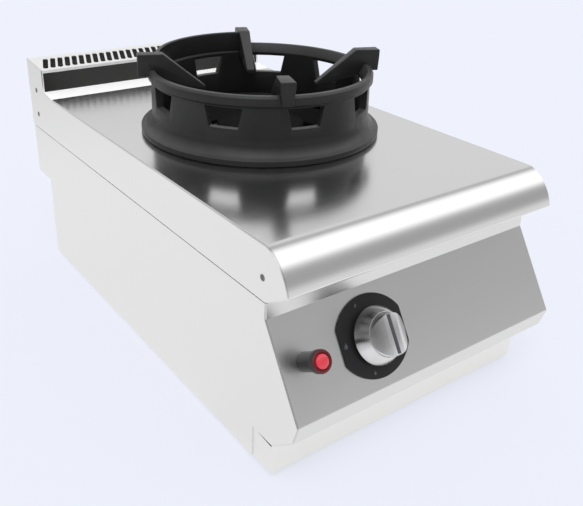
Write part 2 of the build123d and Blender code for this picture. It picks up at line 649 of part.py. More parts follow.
def pilot_burner():
    """Pilot with its hooded head."""
    x, y = PILOT_XY
    body = rod(5, 225, 262) + rod(6.5, 262, 268)
    return Pos(x, y, 0) * (body - rod(2, 224, 266))


def spark_electrode():
    """Ceramic body, with the wire tip above it."""
    x, y = ELECTRODE_XY
    return Pos(x, y, 0) * (rod(3.5, 214, 258) + rod(1, 258, 272))


def pilot_pipe():
    """Copper pipe from the valve to the pilot."""
    x, y = PILOT_XY
    route = [along(KNOB, -30, 0, -45), along(KNOB, -56, 0, -45), (-118, -245, 150), (x, SHIELD_Y - 14, 185),
             (x, y, 185), (x, y, 225)]
    return tube(route, 2, 0, 12)


def thermocouple_lead():
    """Capillary from the valve's safety head to the thermocouple."""
    x, y = COUPLE_XY
    route = [along(KNOB, 0, 24, -50), along(KNOB, 0, 44, -50), (x, SHIELD_Y - 16, 192),
             (x, y, 192), (x, y, 212)]
    return tube(route, 1.2, 0, 9)


def ignition_lead():
    """High voltage lead from the igniter to the electrode."""
    x, y = ELECTRODE_XY
    route = [along(IGNITER, 0, 0, -40), along(IGNITER, 0, 0, -62), (-130, -240, 138),
             (x, SHIELD_Y - 14, 178), (x, y, 178), (x, y, 214)]
    return tube(route, 1.8, 0, 12)


def injector_pipe():
    """Pipe from the valve's outlet to the injector."""
    start = along(KNOB, 32, 0, -45)
    end_y = TUBE_FRONT_Y - 30
    return tube([start, (0, start[1], start[2]), (0, start[1], NECK_Z), (0, end_y, NECK_Z)], 4, 2.8, 11)


def gas_pipe():
    """Supply pipe from the inlet, under the burner box, to the valve."""
    route = [(INLET_X, RECESS_Y - 12, INLET_Z), (INLET_X, SHIELD_Y + 15, INLET_Z),
             (KNOB_X, SHIELD_Y + 15, INLET_Z), along(KNOB, 0, 0, -118), along(KNOB, 0, 0, -76)]
    return tube(route, 8, 6.5, 15)


def gas_inlet():
    """Male threaded inlet fitting in the service recess."""
    fitting = cylinder_y(INLET_X, RECESS_Y, RECESS_Y + 22, INLET_Z, THREAD_RADIUS)
    fitting += cylinder_y(INLET_X, RECESS_Y - 8, RECESS_Y, INLET_Z, THREAD_RADIUS - 0.3)
    fitting += Pos(INLET_X, RECESS_Y - 14, INLET_Z) * Rot(-90, 0, 0) * hexagon(27, 0, 6)
    fitting -= cylinder_y(INLET_X, RECESS_Y - 20, RECESS_Y + 30, INLET_Z, 6.5)
    return fitting - cylinder_y(INLET_X, RECESS_Y - 20, RECESS_Y - 12, INLET_Z, 8)


def inlet_locknut():
    """Nut that clamps the inlet fitting to the back sheet."""
    nut = Pos(INLET_X, RECESS_Y - SHEET - 6, INLET_Z) * Rot(-90, 0, 0) * hexagon(30, 0, 6)
    return nut - cylinder_y(INLET_X, RECESS_Y - 20, RECESS_Y, INLET_Z, THREAD_RADIUS - 0.3)


def pipe_clips():
    """Two upright straps that hold the supply pipe off the base."""
    clips = []
    floor = BASE_Z + 2 * SHEET
    for y in (RING_Y - 60, RING_Y + 200):
        clip = block((INLET_X - 14, y, floor), (INLET_X + 14, y + 2, INLET_Z + 13))
        clip += block((INLET_X - 14, y, floor), (INLET_X + 14, y + 16, floor + 2))
        clips.append(clip - cylinder_y(INLET_X, y - 1, y + 3, INLET_Z, 8))
    return clips


# ================================================================ feet
def foot():
    """Levelling foot: round pad with its stud, standing on the floor."""
    pad = turned([(0, 0), (17, 0), (20, 2), (20, 5), (13, 7.5), (0, 7.5)])
    return pad + rod(5, 7, 62)


def foot_nuts():
    """Welded nuts on the base pan that the feet screw through."""
    low = BASE_Z + 2 * SHEET
    return [Pos(x, y, 0) * (hexagon(17, low, low + 10) - rod(5 + FIT, low - 1, low + 12))
            for x, y in FEET.values()]


# ================================================================ wok ring
def sector(inner, outer, low, high, start, sweep_angle):
    """Part of a ring between two radii, heights and angles."""
    corners = Polyline((inner, low), (outer, low), (outer, high), (inner, high), close=True)
    return Rot(0, 0, start) * revolve(make_face(Plane.XZ * corners), Axis.Z, sweep_angle)


def wok_ring():
    """Cast ring with flared foot, nine windows and the raised guard at the back."""
    profile = (
        Polyline((FLANGE_RADIUS, 9.5), (FLANGE_RADIUS, 3), (158, 0), (146, 0), (138.5, 16), (137, 66),
                 (135.5, 74), (143, RING_HEIGHT), (148.5, RING_HEIGHT), (RIM_RADIUS, 83),
                 (RIM_RADIUS, 74), (147, 70.5), (147.6, 34))
        + ThreePointArc((147.6, 34), (151.4, 17.5), (FLANGE_RADIUS, 9.5))
    )
    ring = revolve(make_face(Plane.XZ * profile), Axis.Z, 360)
    lug_step = 360 / LUG_COUNT
    ring += sector(135.5, 140.5, 74, GUARD_HEIGHT, 90 - lug_step / 2, lug_step)
    half_top = radians(WINDOW_TOP_ANGLE / 2)
    half_low = radians(WINDOW_LOW_ANGLE / 2)
    wall = 147.0
    window = make_face(Polyline(
        (-wall * sin(half_top), WINDOW_HIGH), (wall * sin(half_top), WINDOW_HIGH),
        (wall * sin(half_low), WINDOW_LOW), (-wall * sin(half_low), WINDOW_LOW), close=True))
    cutter = extrude(Plane(origin=(0, 170, 0), x_dir=(1, 0, 0), z_dir=(0, -1, 0)) * window, 60)
    return ring - [Rot(0, 0, angle - 90) * cutter for angle in WINDOW_ANGLES]


def lug(ring):
    """One wok rest: a block hooked over the rim with a blade that slopes down inwards."""
    side = make_face(Plane.XZ * Polyline(
        (LUG_OUTER_RADIUS, 77), (LUG_OUTER_RADIUS, LUG_HEIGHT), (LUG_FLAT_RADIUS, LUG_HEIGHT),
        (LUG_TIP_RADIUS, 62), (LUG_TIP_RADIUS, 56), (136, 70.8), (145, 77), close=True))
    blade = extrude(side, LUG_OUTER_WIDTH, both=True)
    plan = make_face(Polyline(
        (LUG_TIP_RADIUS - 1, -LUG_TIP_WIDTH / 2), (LUG_OUTER_RADIUS + 1, -LUG_OUTER_WIDTH / 2),
        (LUG_OUTER_RADIUS + 1, LUG_OUTER_WIDTH / 2), (LUG_TIP_RADIUS - 1, LUG_TIP_WIDTH / 2), close=True))
    blade &= extrude(plan, 200)
    wide, narrow = LUG_OUTER_WIDTH / 2, LUG_HOOK_WIDTH / 2
    for side in (-1, 1):
        taper = [(side * (wide + 1), 98), (side * wide, 98), (side * narrow, 77),
                 (side * narrow, 76), (side * (wide + 1), 76)]
        blade -= yz_plate(taper, 152, LUG_OUTER_RADIUS + 1)
    return blade - ring


def wok_lugs(ring):
    """The four rests at even angles, between the guard's ends and opposite them."""
    step = 360 / LUG_COUNT
    plain = turned([(FLANGE_RADIUS, 0), (137, 0), (137, 66), (135.5, 74), (143, RING_HEIGHT),
                    (148.5, RING_HEIGHT), (RIM_RADIUS, 83), (RIM_RADIUS, 0)])
    guard = sector(135.5, 140.5, 74, GUARD_HEIGHT, 90 - step / 2, step)
    lugs = []
    for k in range(LUG_COUNT):
        angle = 90 - step / 2 + step * k
        lugs.append(Rot(0, 0, angle) * lug(plain) - guard)
    return lugs


# ================================================================ assembly
def build():
    """Make every sub-part in its place."""
    right = side_panel()
    parts["side_panel_right"] = right
    parts["side_panel_left"] = mirror(right, Plane.YZ)
    parts["rear_panel_lower"], parts["rear_panel_upper"] = rear_panels()
    parts["rear_screws"] = rear_screws()
    parts["base_pan"] = base_pan()
    parts["plinth"] = plinth()
    parts["control_panel"] = control_panel()
    parts["hob_top"] = hob_top()
    end = hob_side()
    parts["hob_side_right"] = end
    parts["hob_side_left"] = mirror(end, Plane.YZ)
    parts["side_screws"] = side_screws()
    parts["nose_brackets"] = nose_brackets()
    parts["deck_ribs"] = deck_ribs()
    parts["flue_riser"] = flue_riser()
    parts["flue_duct"] = flue_duct()
    parts["burner_box"] = burner_box()
    parts["burner_well"] = burner_well()
    parts["heat_shield"] = heat_shield()
    parts["insulation_blanket"] = insulation_blanket()
    parts["burner_stand"] = burner_stand()
    parts["burner_body"] = burner_body()
    parts["burner_crown"] = burner_crown()
    parts["burner_cap"] = burner_cap()
    parts["mixing_tube"] = mixing_tube()
    parts["air_shutter"] = air_shutter()
    parts["injector"] = injector()
    parts["injector_bracket"] = injector_bracket()
    parts["injector_pipe"] = injector_pipe()
    parts["valve_body"] = KNOB * valve_body()
    parts["valve_plug"] = KNOB * valve_plug()
    parts["valve_spindle"] = KNOB * valve_spindle()
    parts["valve_bracket"] = KNOB * valve_bracket()
    parts["spring_seat"] = KNOB * spring_seat()
    parts["valve_spring"] = KNOB * coil(7.6, 0.8, -20.5, -8, 5)
    parts["control_bezel"] = KNOB * control_bezel()
    parts["control_knob"] = KNOB * control_knob()
    parts["igniter_body"] = IGNITER * igniter_body()
    parts["igniter_nut"] = IGNITER * (hexagon(24, -6.5, -SHEET) - rod(IGNITER_BARREL, -8, 0))
    parts["igniter_button"] = IGNITER * igniter_button()
    parts["igniter_spring"] = IGNITER * coil(5.4, 0.6, -25, -8, 6)
    parts["ignition_lead"] = ignition_lead()
    parts["spark_electrode"] = spark_electrode()
    parts["pilot_bracket"] = pilot_bracket()
    parts["pilot_burner"] = pilot_burner()
    parts["pilot_pipe"] = pilot_pipe()
    parts["thermocouple"] = Pos(COUPLE_XY[0], COUPLE_XY[1], 0) * rod(3, 212, 270)
    parts["thermocouple_lead"] = thermocouple_lead()
    parts["gas_pipe"] = gas_pipe()
    parts["gas_inlet"] = gas_inlet()
    parts["inlet_locknut"] = inlet_locknut()
    parts["pipe_clips"] = pipe_clips()
    parts["foot_nuts"] = foot_nuts()
    for name, (x, y) in FEET.items():
        parts["foot_" + name] = Pos(x, y, 0) * foot()
    ring = wok_ring()
    in_place = DECK_CENTRE * Rot(0, 0, RING_TURN)
    parts["wok_ring"] = in_place * ring
    parts["wok_lugs"] = [in_place * piece for piece in wok_lugs(ring)]


def solids_of(shape):
    """Every solid in a shape or a list of shapes."""
    pieces = shape if isinstance(shape, list) else [shape]
    return [solid for piece in pieces for solid in piece.solids()]


build()
os.makedirs("parts", exist_ok=True)
for node, shape in parts.items():
    solids = solids_of(shape)
    export_step(solids[0] if len(solids) == 1 else Compound(children=solids), f"parts/{node}.step")
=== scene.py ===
"""Looks of a countertop gas wok range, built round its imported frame.

Metres, +Z up, the front faces -Y. Sizes given in millimetres are turned into metres by the helpers.
"""

import json
from math import acos, atan2, cos, pi, radians, sin, sqrt

import bpy
from bpy.props import FloatProperty, FloatVectorProperty, IntProperty, PointerProperty
from mathutils import Matrix, Vector


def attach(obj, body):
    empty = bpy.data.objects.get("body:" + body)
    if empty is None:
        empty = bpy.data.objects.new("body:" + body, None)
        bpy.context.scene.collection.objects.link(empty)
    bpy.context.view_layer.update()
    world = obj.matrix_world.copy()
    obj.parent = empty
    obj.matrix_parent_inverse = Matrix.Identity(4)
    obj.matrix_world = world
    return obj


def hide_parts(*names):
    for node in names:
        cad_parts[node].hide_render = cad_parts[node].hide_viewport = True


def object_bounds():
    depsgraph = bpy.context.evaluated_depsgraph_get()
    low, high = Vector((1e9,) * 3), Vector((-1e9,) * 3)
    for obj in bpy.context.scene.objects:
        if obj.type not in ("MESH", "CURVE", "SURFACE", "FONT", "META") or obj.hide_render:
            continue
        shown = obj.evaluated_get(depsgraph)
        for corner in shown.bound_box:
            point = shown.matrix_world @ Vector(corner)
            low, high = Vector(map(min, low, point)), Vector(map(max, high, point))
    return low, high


bl_info = {
    "name": "Wok range",
    "version": (1, 0, 0),
    "blender": (4, 5, 0),
    "location": "3D View > Sidebar > Wok range",
    "description": "Builds the visible pieces, finishes and studio of a countertop gas wok range",
    "category": "Object",
}

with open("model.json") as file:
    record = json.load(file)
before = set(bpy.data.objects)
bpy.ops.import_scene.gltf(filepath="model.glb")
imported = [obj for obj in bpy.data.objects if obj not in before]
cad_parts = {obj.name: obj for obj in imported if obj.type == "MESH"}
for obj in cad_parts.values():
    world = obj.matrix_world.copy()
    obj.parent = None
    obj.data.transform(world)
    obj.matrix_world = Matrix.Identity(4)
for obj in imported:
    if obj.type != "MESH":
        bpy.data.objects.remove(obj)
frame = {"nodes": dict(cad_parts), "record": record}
CAD_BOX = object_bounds()

MM = 0.001
MERGE_GAP = 0.01 * MM
HALF_WIDTH = 200.0
SHEET = 1.5
INNER = HALF_WIDTH - SHEET

# places along the depth, from the back of the range
BACK_Y = round(CAD_BOX[1].y / MM, 2)
RISER_FRONT_Y = BACK_Y - 62.0
RAMP_Y = BACK_Y - 97.0
RING_Y = BACK_Y - 362.4
PLINTH_BACK_Y = BACK_Y - 632.5
NOSE_START_Y = BACK_Y - 662.0
PANEL_TOP_Y = BACK_Y - 664.0
PLINTH_Y = BACK_Y - 681.0
NOSE_TIP_Y = BACK_Y - 700.4
LIP_Y = BACK_Y - 716.0
PANEL_FOOT_Y = BACK_Y - 723.6

# heights above the floor
BASE_Z = 8.0
NOTCH_Z = 49.0
LIP_Z = 77.0
PANEL_FOOT_Z = 100.0
PANEL_TOP_Z = 196.0
SIDE_TOP_Z = 215.0
END_LOW_Z = 215.7
SEAM_Z = 216.5
NOSE_TIP_Z = 238.4
DECK_Z = 278.0
RAMP_TOP_Z = 282.0

# rolled nose in (y, z): a gentle start, then the fall to the tip
NOSE_TURN = ((NOSE_START_Y, DECK_Z), (NOSE_START_Y - 5.1, 277.4), (NOSE_START_Y - 10, 275.6))
NOSE_FALL = (NOSE_TURN[2], (BACK_Y - 690.4, 260.2), (NOSE_TIP_Y, NOSE_TIP_Z))

# flue riser: its top slopes up to the back, and a slit in its end shows the joint of the sheets
RISER_FLOOR_Z = 221.0
RISER_FRONT_Z = 317.0
RISER_BACK_Z = 323.5
SLIT_LOW_Z, SLIT_HIGH_Z = 236.0, 272.0

# controls: across the panel and down its slanted face, and the radii of their holes
PANEL_RISE = PANEL_TOP_Z - PANEL_FOOT_Z
PANEL_RUN = PANEL_TOP_Y - PANEL_FOOT_Y
PANEL_LENGTH = sqrt(PANEL_RISE ** 2 + PANEL_RUN ** 2)
PANEL_LEAN = atan2(PANEL_RUN, PANEL_RISE)
KNOB_AT, KNOB_HOLE = (-78.3, 56.0), 9.0
IGNITER_AT, IGNITER_HOLE = (-169.5, 53.8), 9.5

# bezel: two arcs about centres above and below the knob, eased (in radians) into straight sides;
# setting marks: degrees counter-clockwise from the right, and size
BEZEL_ARC_RADIUS = 52.0
BEZEL_ARC_DROP = 6.0
BEZEL_HALF_WIDTH = 45.0
BEZEL_THICKNESS = 4.0
BEZEL_EASE = 0.12
MARK_RADIUS = 39.5
SETTING_MARKS = ((109, 0.7), (179, 1.0), (-109, 0.7))

# knob: reach of the grip bar from the axis, its heights above the panel, and the pointer groove
GRIP_REACH = 24.0
GRIP_FOOT, GRIP_TOP = 27.5, 38.0
GROOVE_HALF, GROOVE_DEPTH = 2.5, 4.0

# wok ring, in its own frame: degrees, radii and heights above the deck
RING_TURN = radians(21.6)
WINDOW_ANGLES = (29.2, 69.2, 112.6, 156.0, 196.0, 236.0, 276.0, 312.6, 349.2)
WINDOW_LOW, WINDOW_HIGH = 43.5, 69.5
WINDOW_HALF_LOW, WINDOW_HALF_HIGH = radians(7.3), radians(9.4)
WALL_RADIUS = 147.0
LUG_OUTER_RADIUS = 164.0
LUG_TIP_RADIUS = 76.0
LUG_HOOK_RADIUS = 152.0
LUG_OUTER_WIDTH = 18.6
LUG_TIP_WIDTH = 11.0
LUG_HOOK_WIDTH = 12.5
LUG_FOOT_Z = 77.0

# burner and its hole, and the screws in the end plates as (y, z)
DECK_HOLE_RADIUS = 121.0
CROWN_TOP_Z = 284.0
CAP_RADIUS = 60.0
SIDE_SCREWS = ((BACK_Y - 659.3, 242.0), (BACK_Y - 32.0, 279.0), (BACK_Y - 31.0, 240.0))

# camera of the photograph: degrees, millimetres, and the shift as a share of the picture's width
CAMERA_AZIMUTH, CAMERA_ELEVATION, CAMERA_ROLL = -36.67, 23.85, 1.69
CAMERA_TARGET, CAMERA_DISTANCE = (40.5, 2.7, 158.0), 1108.8
CAMERA_LENS, CAMERA_SHIFT = 46.11, (0.0146, -0.0909)

# studio that metal mirrors: degrees up from the front horizon over the top to the back, and brightness;
# the share of it that is left on the far left; then the even light on everything that isn't shiny
SKY_PEAK = 1.25
SKY_STOPS = (
    (0, 0.70), (5, 0.56), (11, 0.42), (24, 0.39), (34, 0.42), (40, 0.47), (44, 0.60), (48, 0.80),
    (52, 1.05), (56, 1.25), (86, 1.25), (91, 0.86), (95, 0.72), (101, 0.56), (108, 0.48), (116, 0.50),
    (122, 0.68), (128, 0.78), (137, 0.72), (145, 0.72), (150, 0.75), (153, 0.75), (162, 0.72),
    (170, 0.55), (180, 0.48))
SKY_LEFT_SHARE = 0.6
SKY_LIGHT = 0.68
MIRRORED_FLOOR = (0.935, 0.928, 0.905, 1.0)
# faint glow painted on the ramp behind the deck, as its highlight
RAMP_PAINTED_GLOW = 0.14


# ---------------------------------------------------------------- settings a user can change
class WokRangeSizes(bpy.types.PropertyGroup):
    """Small sizes that shape the edges and details."""

    bend_radius: FloatProperty(
        name="Bend radius", description="Outer radius of the folds in the sheet metal",
        default=0.0022, min=0.0, unit="LENGTH")
    sheet_edge: FloatProperty(
        name="Sheet edge", description="Rounding of the cut edges of the sheets",
        default=0.0003, min=0.0, unit="LENGTH")
    cast_edge: FloatProperty(
        name="Cast edge", description="Rounding of the edges of the iron castings",
        default=0.0012, min=0.0, unit="LENGTH")
    ring_steps: IntProperty(
        name="Ring steps", description="Steps round the wok ring", default=180, min=36)
    grip_width: FloatProperty(
        name="Grip width", description="Width of the grip bar across the knob",
        default=0.015, min=0.005, unit="LENGTH")


class WokRangeColours(bpy.types.PropertyGroup):
    """Base colours of the finishes."""

    sheet: FloatVectorProperty(
        name="Sheet", description="Outer stainless sheets", subtype="COLOR", size=3,
        default=(0.885, 0.885, 0.88), min=0.0, max=1.0)
    deck: FloatVectorProperty(
        name="Deck", description="Satin stainless of the deck", subtype="COLOR", size=3,
        default=(0.85, 0.85, 0.85), min=0.0, max=1.0)
    panel: FloatVectorProperty(
        name="Panel", description="Satin stainless of the control panel", subtype="COLOR", size=3,
        default=(0.81, 0.81, 0.81), min=0.0, max=1.0)
    iron: FloatVectorProperty(
        name="Iron", description="Black cast iron of the wok ring", subtype="COLOR", size=3,
        default=(0.020, 0.020, 0.0205), min=0.0, max=1.0)
    bezel: FloatVectorProperty(
        name="Bezel", description="Charcoal plastic behind the knob", subtype="COLOR", size=3,
        default=(0.014, 0.014, 0.015), min=0.0, max=1.0)
    button: FloatVectorProperty(
        name="Button", description="Red plastic of the igniter button", subtype="COLOR", size=3,
        default=(0.72, 0.045, 0.07), min=0.0, max=1.0)
    backdrop: FloatVectorProperty(
        name="Backdrop", description="Pale colour of the floor and the background", subtype="COLOR", size=3,
        default=(0.870, 0.895, 0.985), min=0.0, max=1.0)


def sizes():
    """The size settings of the scene."""
    return bpy.context.scene.wok_range_sizes


def colours():
    """The colour settings of the scene."""
    return bpy.context.scene.wok_range_colours


# ---------------------------------------------------------------- node materials
def node_maker(tree):
    """A function that adds a node to a tree, with its inputs linked or set."""

    def add(kind, inputs=(), **settings):
        node = tree.nodes.new(kind)
        for key, value in settings.items():
            setattr(node, key, value)
        for key, value in dict(inputs).items():
            if isinstance(value, bpy.types.NodeSocket):
                tree.links.new(value, node.inputs[key])
            else:
                node.inputs[key].default_value = value
        return node

    return add


def nodes_of(name):
    """A new material, with its node tree, its shader and the function that adds nodes."""
    material = bpy.data.materials.new(name)
    material.use_nodes = True
    tree = material.node_tree
    return material, tree, tree.nodes["Principled BSDF"], node_maker(tree)


def pattern(add, place, scale, detail, stretch=(1, 1, 1)):
    """Noise in the piece's own space, stretched along an axis for a grain."""
    mapping = add("ShaderNodeMapping", {"Vector": place, "Scale": stretch})
    noise = add("ShaderNodeTexNoise", {"Vector": mapping.outputs[0], "Scale": scale, "Detail": detail})
    return noise.outputs[0]


def spread(add, value, low, high):
    """A value of 0 to 1 moved to lie between low and high."""
    return add("ShaderNodeMapRange", {
        "Value": value, "From Min": 0.25, "From Max": 0.75, "To Min": low, "To Max": high}).outputs[0]


def bump(add, tree, shader, height, depth, strength):
    """Relief in millimetres of depth."""
    node = add("ShaderNodeBump", {"Height": height, "Distance": depth * MM, "Strength": strength})
    tree.links.new(node.outputs[0], shader.inputs["Normal"])


def tint(colour, factor):
    """A colour with alpha, made lighter or darker."""
    return (*(min(1.0, c * factor) for c in colour), 1.0)


def tone(add, value, colour, dark, light):
    """A colour that wanders between a darker and a lighter tone."""
    mix = add("ShaderNodeMix", {"Factor": value}, data_type="RGBA")
    mix.inputs[6].default_value = tint(colour, dark)
    mix.inputs[7].default_value = tint(colour, light)
    return mix.outputs[2]


def by_facing(add, value, colour, tones, factor, toward, slope):
    """The wandering colour, times a factor on faces that look one way.

    The slope gives the cosines where the change starts and where it is full.
    """
    normal = add("ShaderNodeTexCoord").outputs["Normal"]
    facing = add("ShaderNodeVectorMath", {0: normal, 1: toward}, operation="DOT_PRODUCT").outputs["Value"]
    share = add("ShaderNodeMapRange", {"Value": facing, "From Min": slope[0], "From Max": slope[1]})
    plain = tone(add, value, colour, *tones)
    changed = tone(add, value, tint(colour, factor)[:3], *tones)
    mix = add("ShaderNodeMix", {"Factor": share.outputs[0], 6: plain, 7: changed}, data_type="RGBA")
    return mix.outputs[2]


def steel(name, colour, roughness, grain=(1, 60, 60), lean=0.0, contrast=0.03, shine=1.0, zone=None):
    """Stainless sheet: long fine brush lines, soft cloudiness and a few rub marks.

    The grain is stretched across its lines, and the lean turns it to a slanted sheet.
    """
    material, tree, shader, add = nodes_of(name)
    place = add("ShaderNodeTexCoord").outputs["Object"]
    if lean:
        place = add("ShaderNodeMapping", {"Vector": place, "Rotation": (-lean, 0, 0)}).outputs[0]
    lines = pattern(add, place, 22.0, 6.0, grain)
    cloud = pattern(add, place, 9.0, 2.0)
    rubbed = pattern(add, place, 70.0, 4.0, (0.5, 2.0, 2.0))
    both = add("ShaderNodeMix", {"Factor": 0.4, "A": lines, "B": cloud}).outputs[0]
    tree.links.new(tone(add, both, colour, 1.0 - contrast, 1.0 + contrast), shader.inputs["Base Color"])
    worn = add("ShaderNodeMix", {"Factor": 0.35, "A": both, "B": rubbed}).outputs[0]
    wander = contrast * 1.1
    tree.links.new(spread(add, worn, roughness - wander, roughness + wander), shader.inputs["Roughness"])
    shader.inputs["Metallic"].default_value = shine
    bump(add, tree, shader, lines, 0.03, contrast * 0.6)
    if zone:
        zone(add, tree, shader)
    return material


def zone_change(add, tree, shader, mask, colour, metallic, roughness):
    """Where the mask is 1, another colour, metal share and roughness take over."""
    before = shader.inputs["Base Color"].links[0].from_socket
    mix = add("ShaderNodeMix", {"Factor": mask, 6: before, 7: (*colour, 1.0)}, data_type="RGBA")
    tree.links.new(mix.outputs[2], shader.inputs["Base Color"])
    before = shader.inputs["Roughness"].links[0].from_socket
    mix = add("ShaderNodeMix", {"Factor": mask, "A": before, "B": roughness})
    tree.links.new(mix.outputs[0], shader.inputs["Roughness"])
    mix = add("ShaderNodeMix", {"Factor": mask, "A": shader.inputs["Metallic"].default_value, "B": metallic})
    tree.links.new(mix.outputs[0], shader.inputs["Metallic"])


def between(add, value, low, high):
    """1 where a length lies between two sizes in millimetres, else 0."""
    middle, half = (low + high) / 2 * MM, (high - low) / 2 * MM
    return add("ShaderNodeMath", {0: value, 1: middle, 2: half}, operation="COMPARE").outputs[0]


def ramp_painted_highlight_zone(add, tree, shader):
    """The ramp behind the deck is painted white and made to glow faintly: a painted highlight, paler than the
    satin deck.
    """
    split = add("ShaderNodeSeparateXYZ", {0: add("ShaderNodeTexCoord").outputs["Object"]})
    mask = between(add, split.outputs[1], RAMP_Y + 0.8, RISER_FRONT_Y + 10)
    zone_change(add, tree, shader, mask, (1.0, 1.0, 1.0), 0.0, 0.5)
    # painted light: the ramp glows though it is no lamp
    glow = add("ShaderNodeMath", {0: mask, 1: RAMP_PAINTED_GLOW}, operation="MULTIPLY").outputs[0]
    tree.links.new(glow, shader.inputs["Emission Strength"])


def flue_painted_shade_zone(add, tree, shader):
    """Inside the flue the sheet is painted dark as shade, up to the underside of its sloping top."""
    split = add("ShaderNodeSeparateXYZ", {0: add("ShaderNodeTexCoord").outputs["Object"]})
    x, y, z = split.outputs
    slope = (RISER_BACK_Z - RISER_FRONT_Z) / (BACK_Y - RISER_FRONT_Y)
    level = add("ShaderNodeMath", {0: y, 1: -slope, 2: z}, operation="MULTIPLY_ADD").outputs[0]
    drop, skin = slope * RISER_FRONT_Y, 0.9
    mask = between(add, x, -INNER + skin, INNER - skin)
    insides = ((y, RISER_FRONT_Y, BACK_Y), (level, RISER_FLOOR_Z - drop, RISER_FRONT_Z - drop))
    for value, low, high in insides:
        other = between(add, value, low + skin, high - skin)
        mask = add("ShaderNodeMath", {0: mask, 1: other}, operation="MULTIPLY").outputs[0]
    # painted shade: a dark colour inside the flue, where only shade falls
    zone_change(add, tree, shader, mask, (0.085, 0.085, 0.083), 0.0, 0.75)


def cast_iron(name, colour, roughness, grit, gloss=0.25, painted_top_light=1.0):
    """Sand-cast iron under a thin matt coat: grainy skin, worn in patches, and painted light that makes its
    upper faces lighter.
    """
    material, tree, shader, add = nodes_of(name)
    place = add("ShaderNodeTexCoord").outputs["Object"]
    grains = pattern(add, place, 620.0, 5.0)
    lumps = pattern(add, place, 110.0, 3.0)
    patches = pattern(add, place, 24.0, 4.0)
    upward, slope = (0, 0, 1), (0.3, 0.75)
    # painted light: faces that look up are made lighter by a factor
    skin_colour = by_facing(add, patches, colour, (0.75, 1.35), painted_top_light, upward, slope)
    tree.links.new(skin_colour, shader.inputs["Base Color"])
    tree.links.new(spread(add, lumps, roughness - 0.06, roughness + 0.08), shader.inputs["Roughness"])
    skin = add("ShaderNodeMix", {"Factor": 0.35, "A": grains, "B": lumps}).outputs[0]
    bump(add, tree, shader, skin, 0.35, grit)
    shader.inputs["Specular IOR Level"].default_value = gloss
    return material


def moulded(name, colour, roughness, grit=0.05, grain_scale=1500.0, coat=0.0, gloss=0.5):
    """Moulded plastic, rubber or ceramic with a fine skin."""
    material, tree, shader, add = nodes_of(name)
    place = add("ShaderNodeTexCoord").outputs["Object"]
    skin = pattern(add, place, grain_scale, 2.0)
    cloud = pattern(add, place, 60.0, 2.0)
    tree.links.new(tone(add, cloud, colour, 0.93, 1.07), shader.inputs["Base Color"])
    tree.links.new(spread(add, skin, roughness - 0.03, roughness + 0.03), shader.inputs["Roughness"])
    bump(add, tree, shader, skin, 0.05, grit)
    shader.inputs["Coat Weight"].default_value = coat
    shader.inputs["Specular IOR Level"].default_value = gloss
    return material


def metal(name, colour, roughness, grit=0.1, grain_scale=400.0, spots=0.0, shaded=1.0):
    """Plain metal such as zinc plate, brass or copper, with handling marks.

    Faces that look up and to the left are shaded by a factor.
    """
    material, tree, shader, add = nodes_of(name)
    place = add("ShaderNodeTexCoord").outputs["Object"]
    skin = pattern(add, place, grain_scale, 4.0)
    cloud = pattern(add, place, 45.0, 3.0)
    if spots:
        flakes = add("ShaderNodeTexVoronoi", {"Vector": place, "Scale": 90.0}).outputs["Distance"]
        cloud = add("ShaderNodeMix", {"Factor": spots, "A": cloud, "B": flakes}).outputs[0]
    up_and_left, slope = (-0.6, 0, 0.8), (0.5, 1.0)
    skin_colour = by_facing(add, cloud, colour, (0.82, 1.15), shaded, up_and_left, slope)
    tree.links.new(skin_colour, shader.inputs["Base Color"])
    tree.links.new(spread(add, cloud, roughness - 0.06, roughness + 0.08), shader.inputs["Roughness"])
    shader.inputs["Metallic"].default_value = 1.0
    bump(add, tree, shader, skin, 0.05, grit)
    return material


def wool(name, colour):
    """Mineral wool: tangled short fibres."""
    material, tree, shader, add = nodes_of(name)
    place = add("ShaderNodeTexCoord").outputs["Object"]
    fibres = pattern(add, place, 260.0, 8.0, (1, 1, 5))
    tree.links.new(tone(add, fibres, colour, 0.6, 1.25), shader.inputs["Base Color"])
    tree.links.new(spread(add, fibres, 0.85, 1.0), shader.inputs["Roughness"])
    bump(add, tree, shader, fibres, 1.5, 0.8)
    return material


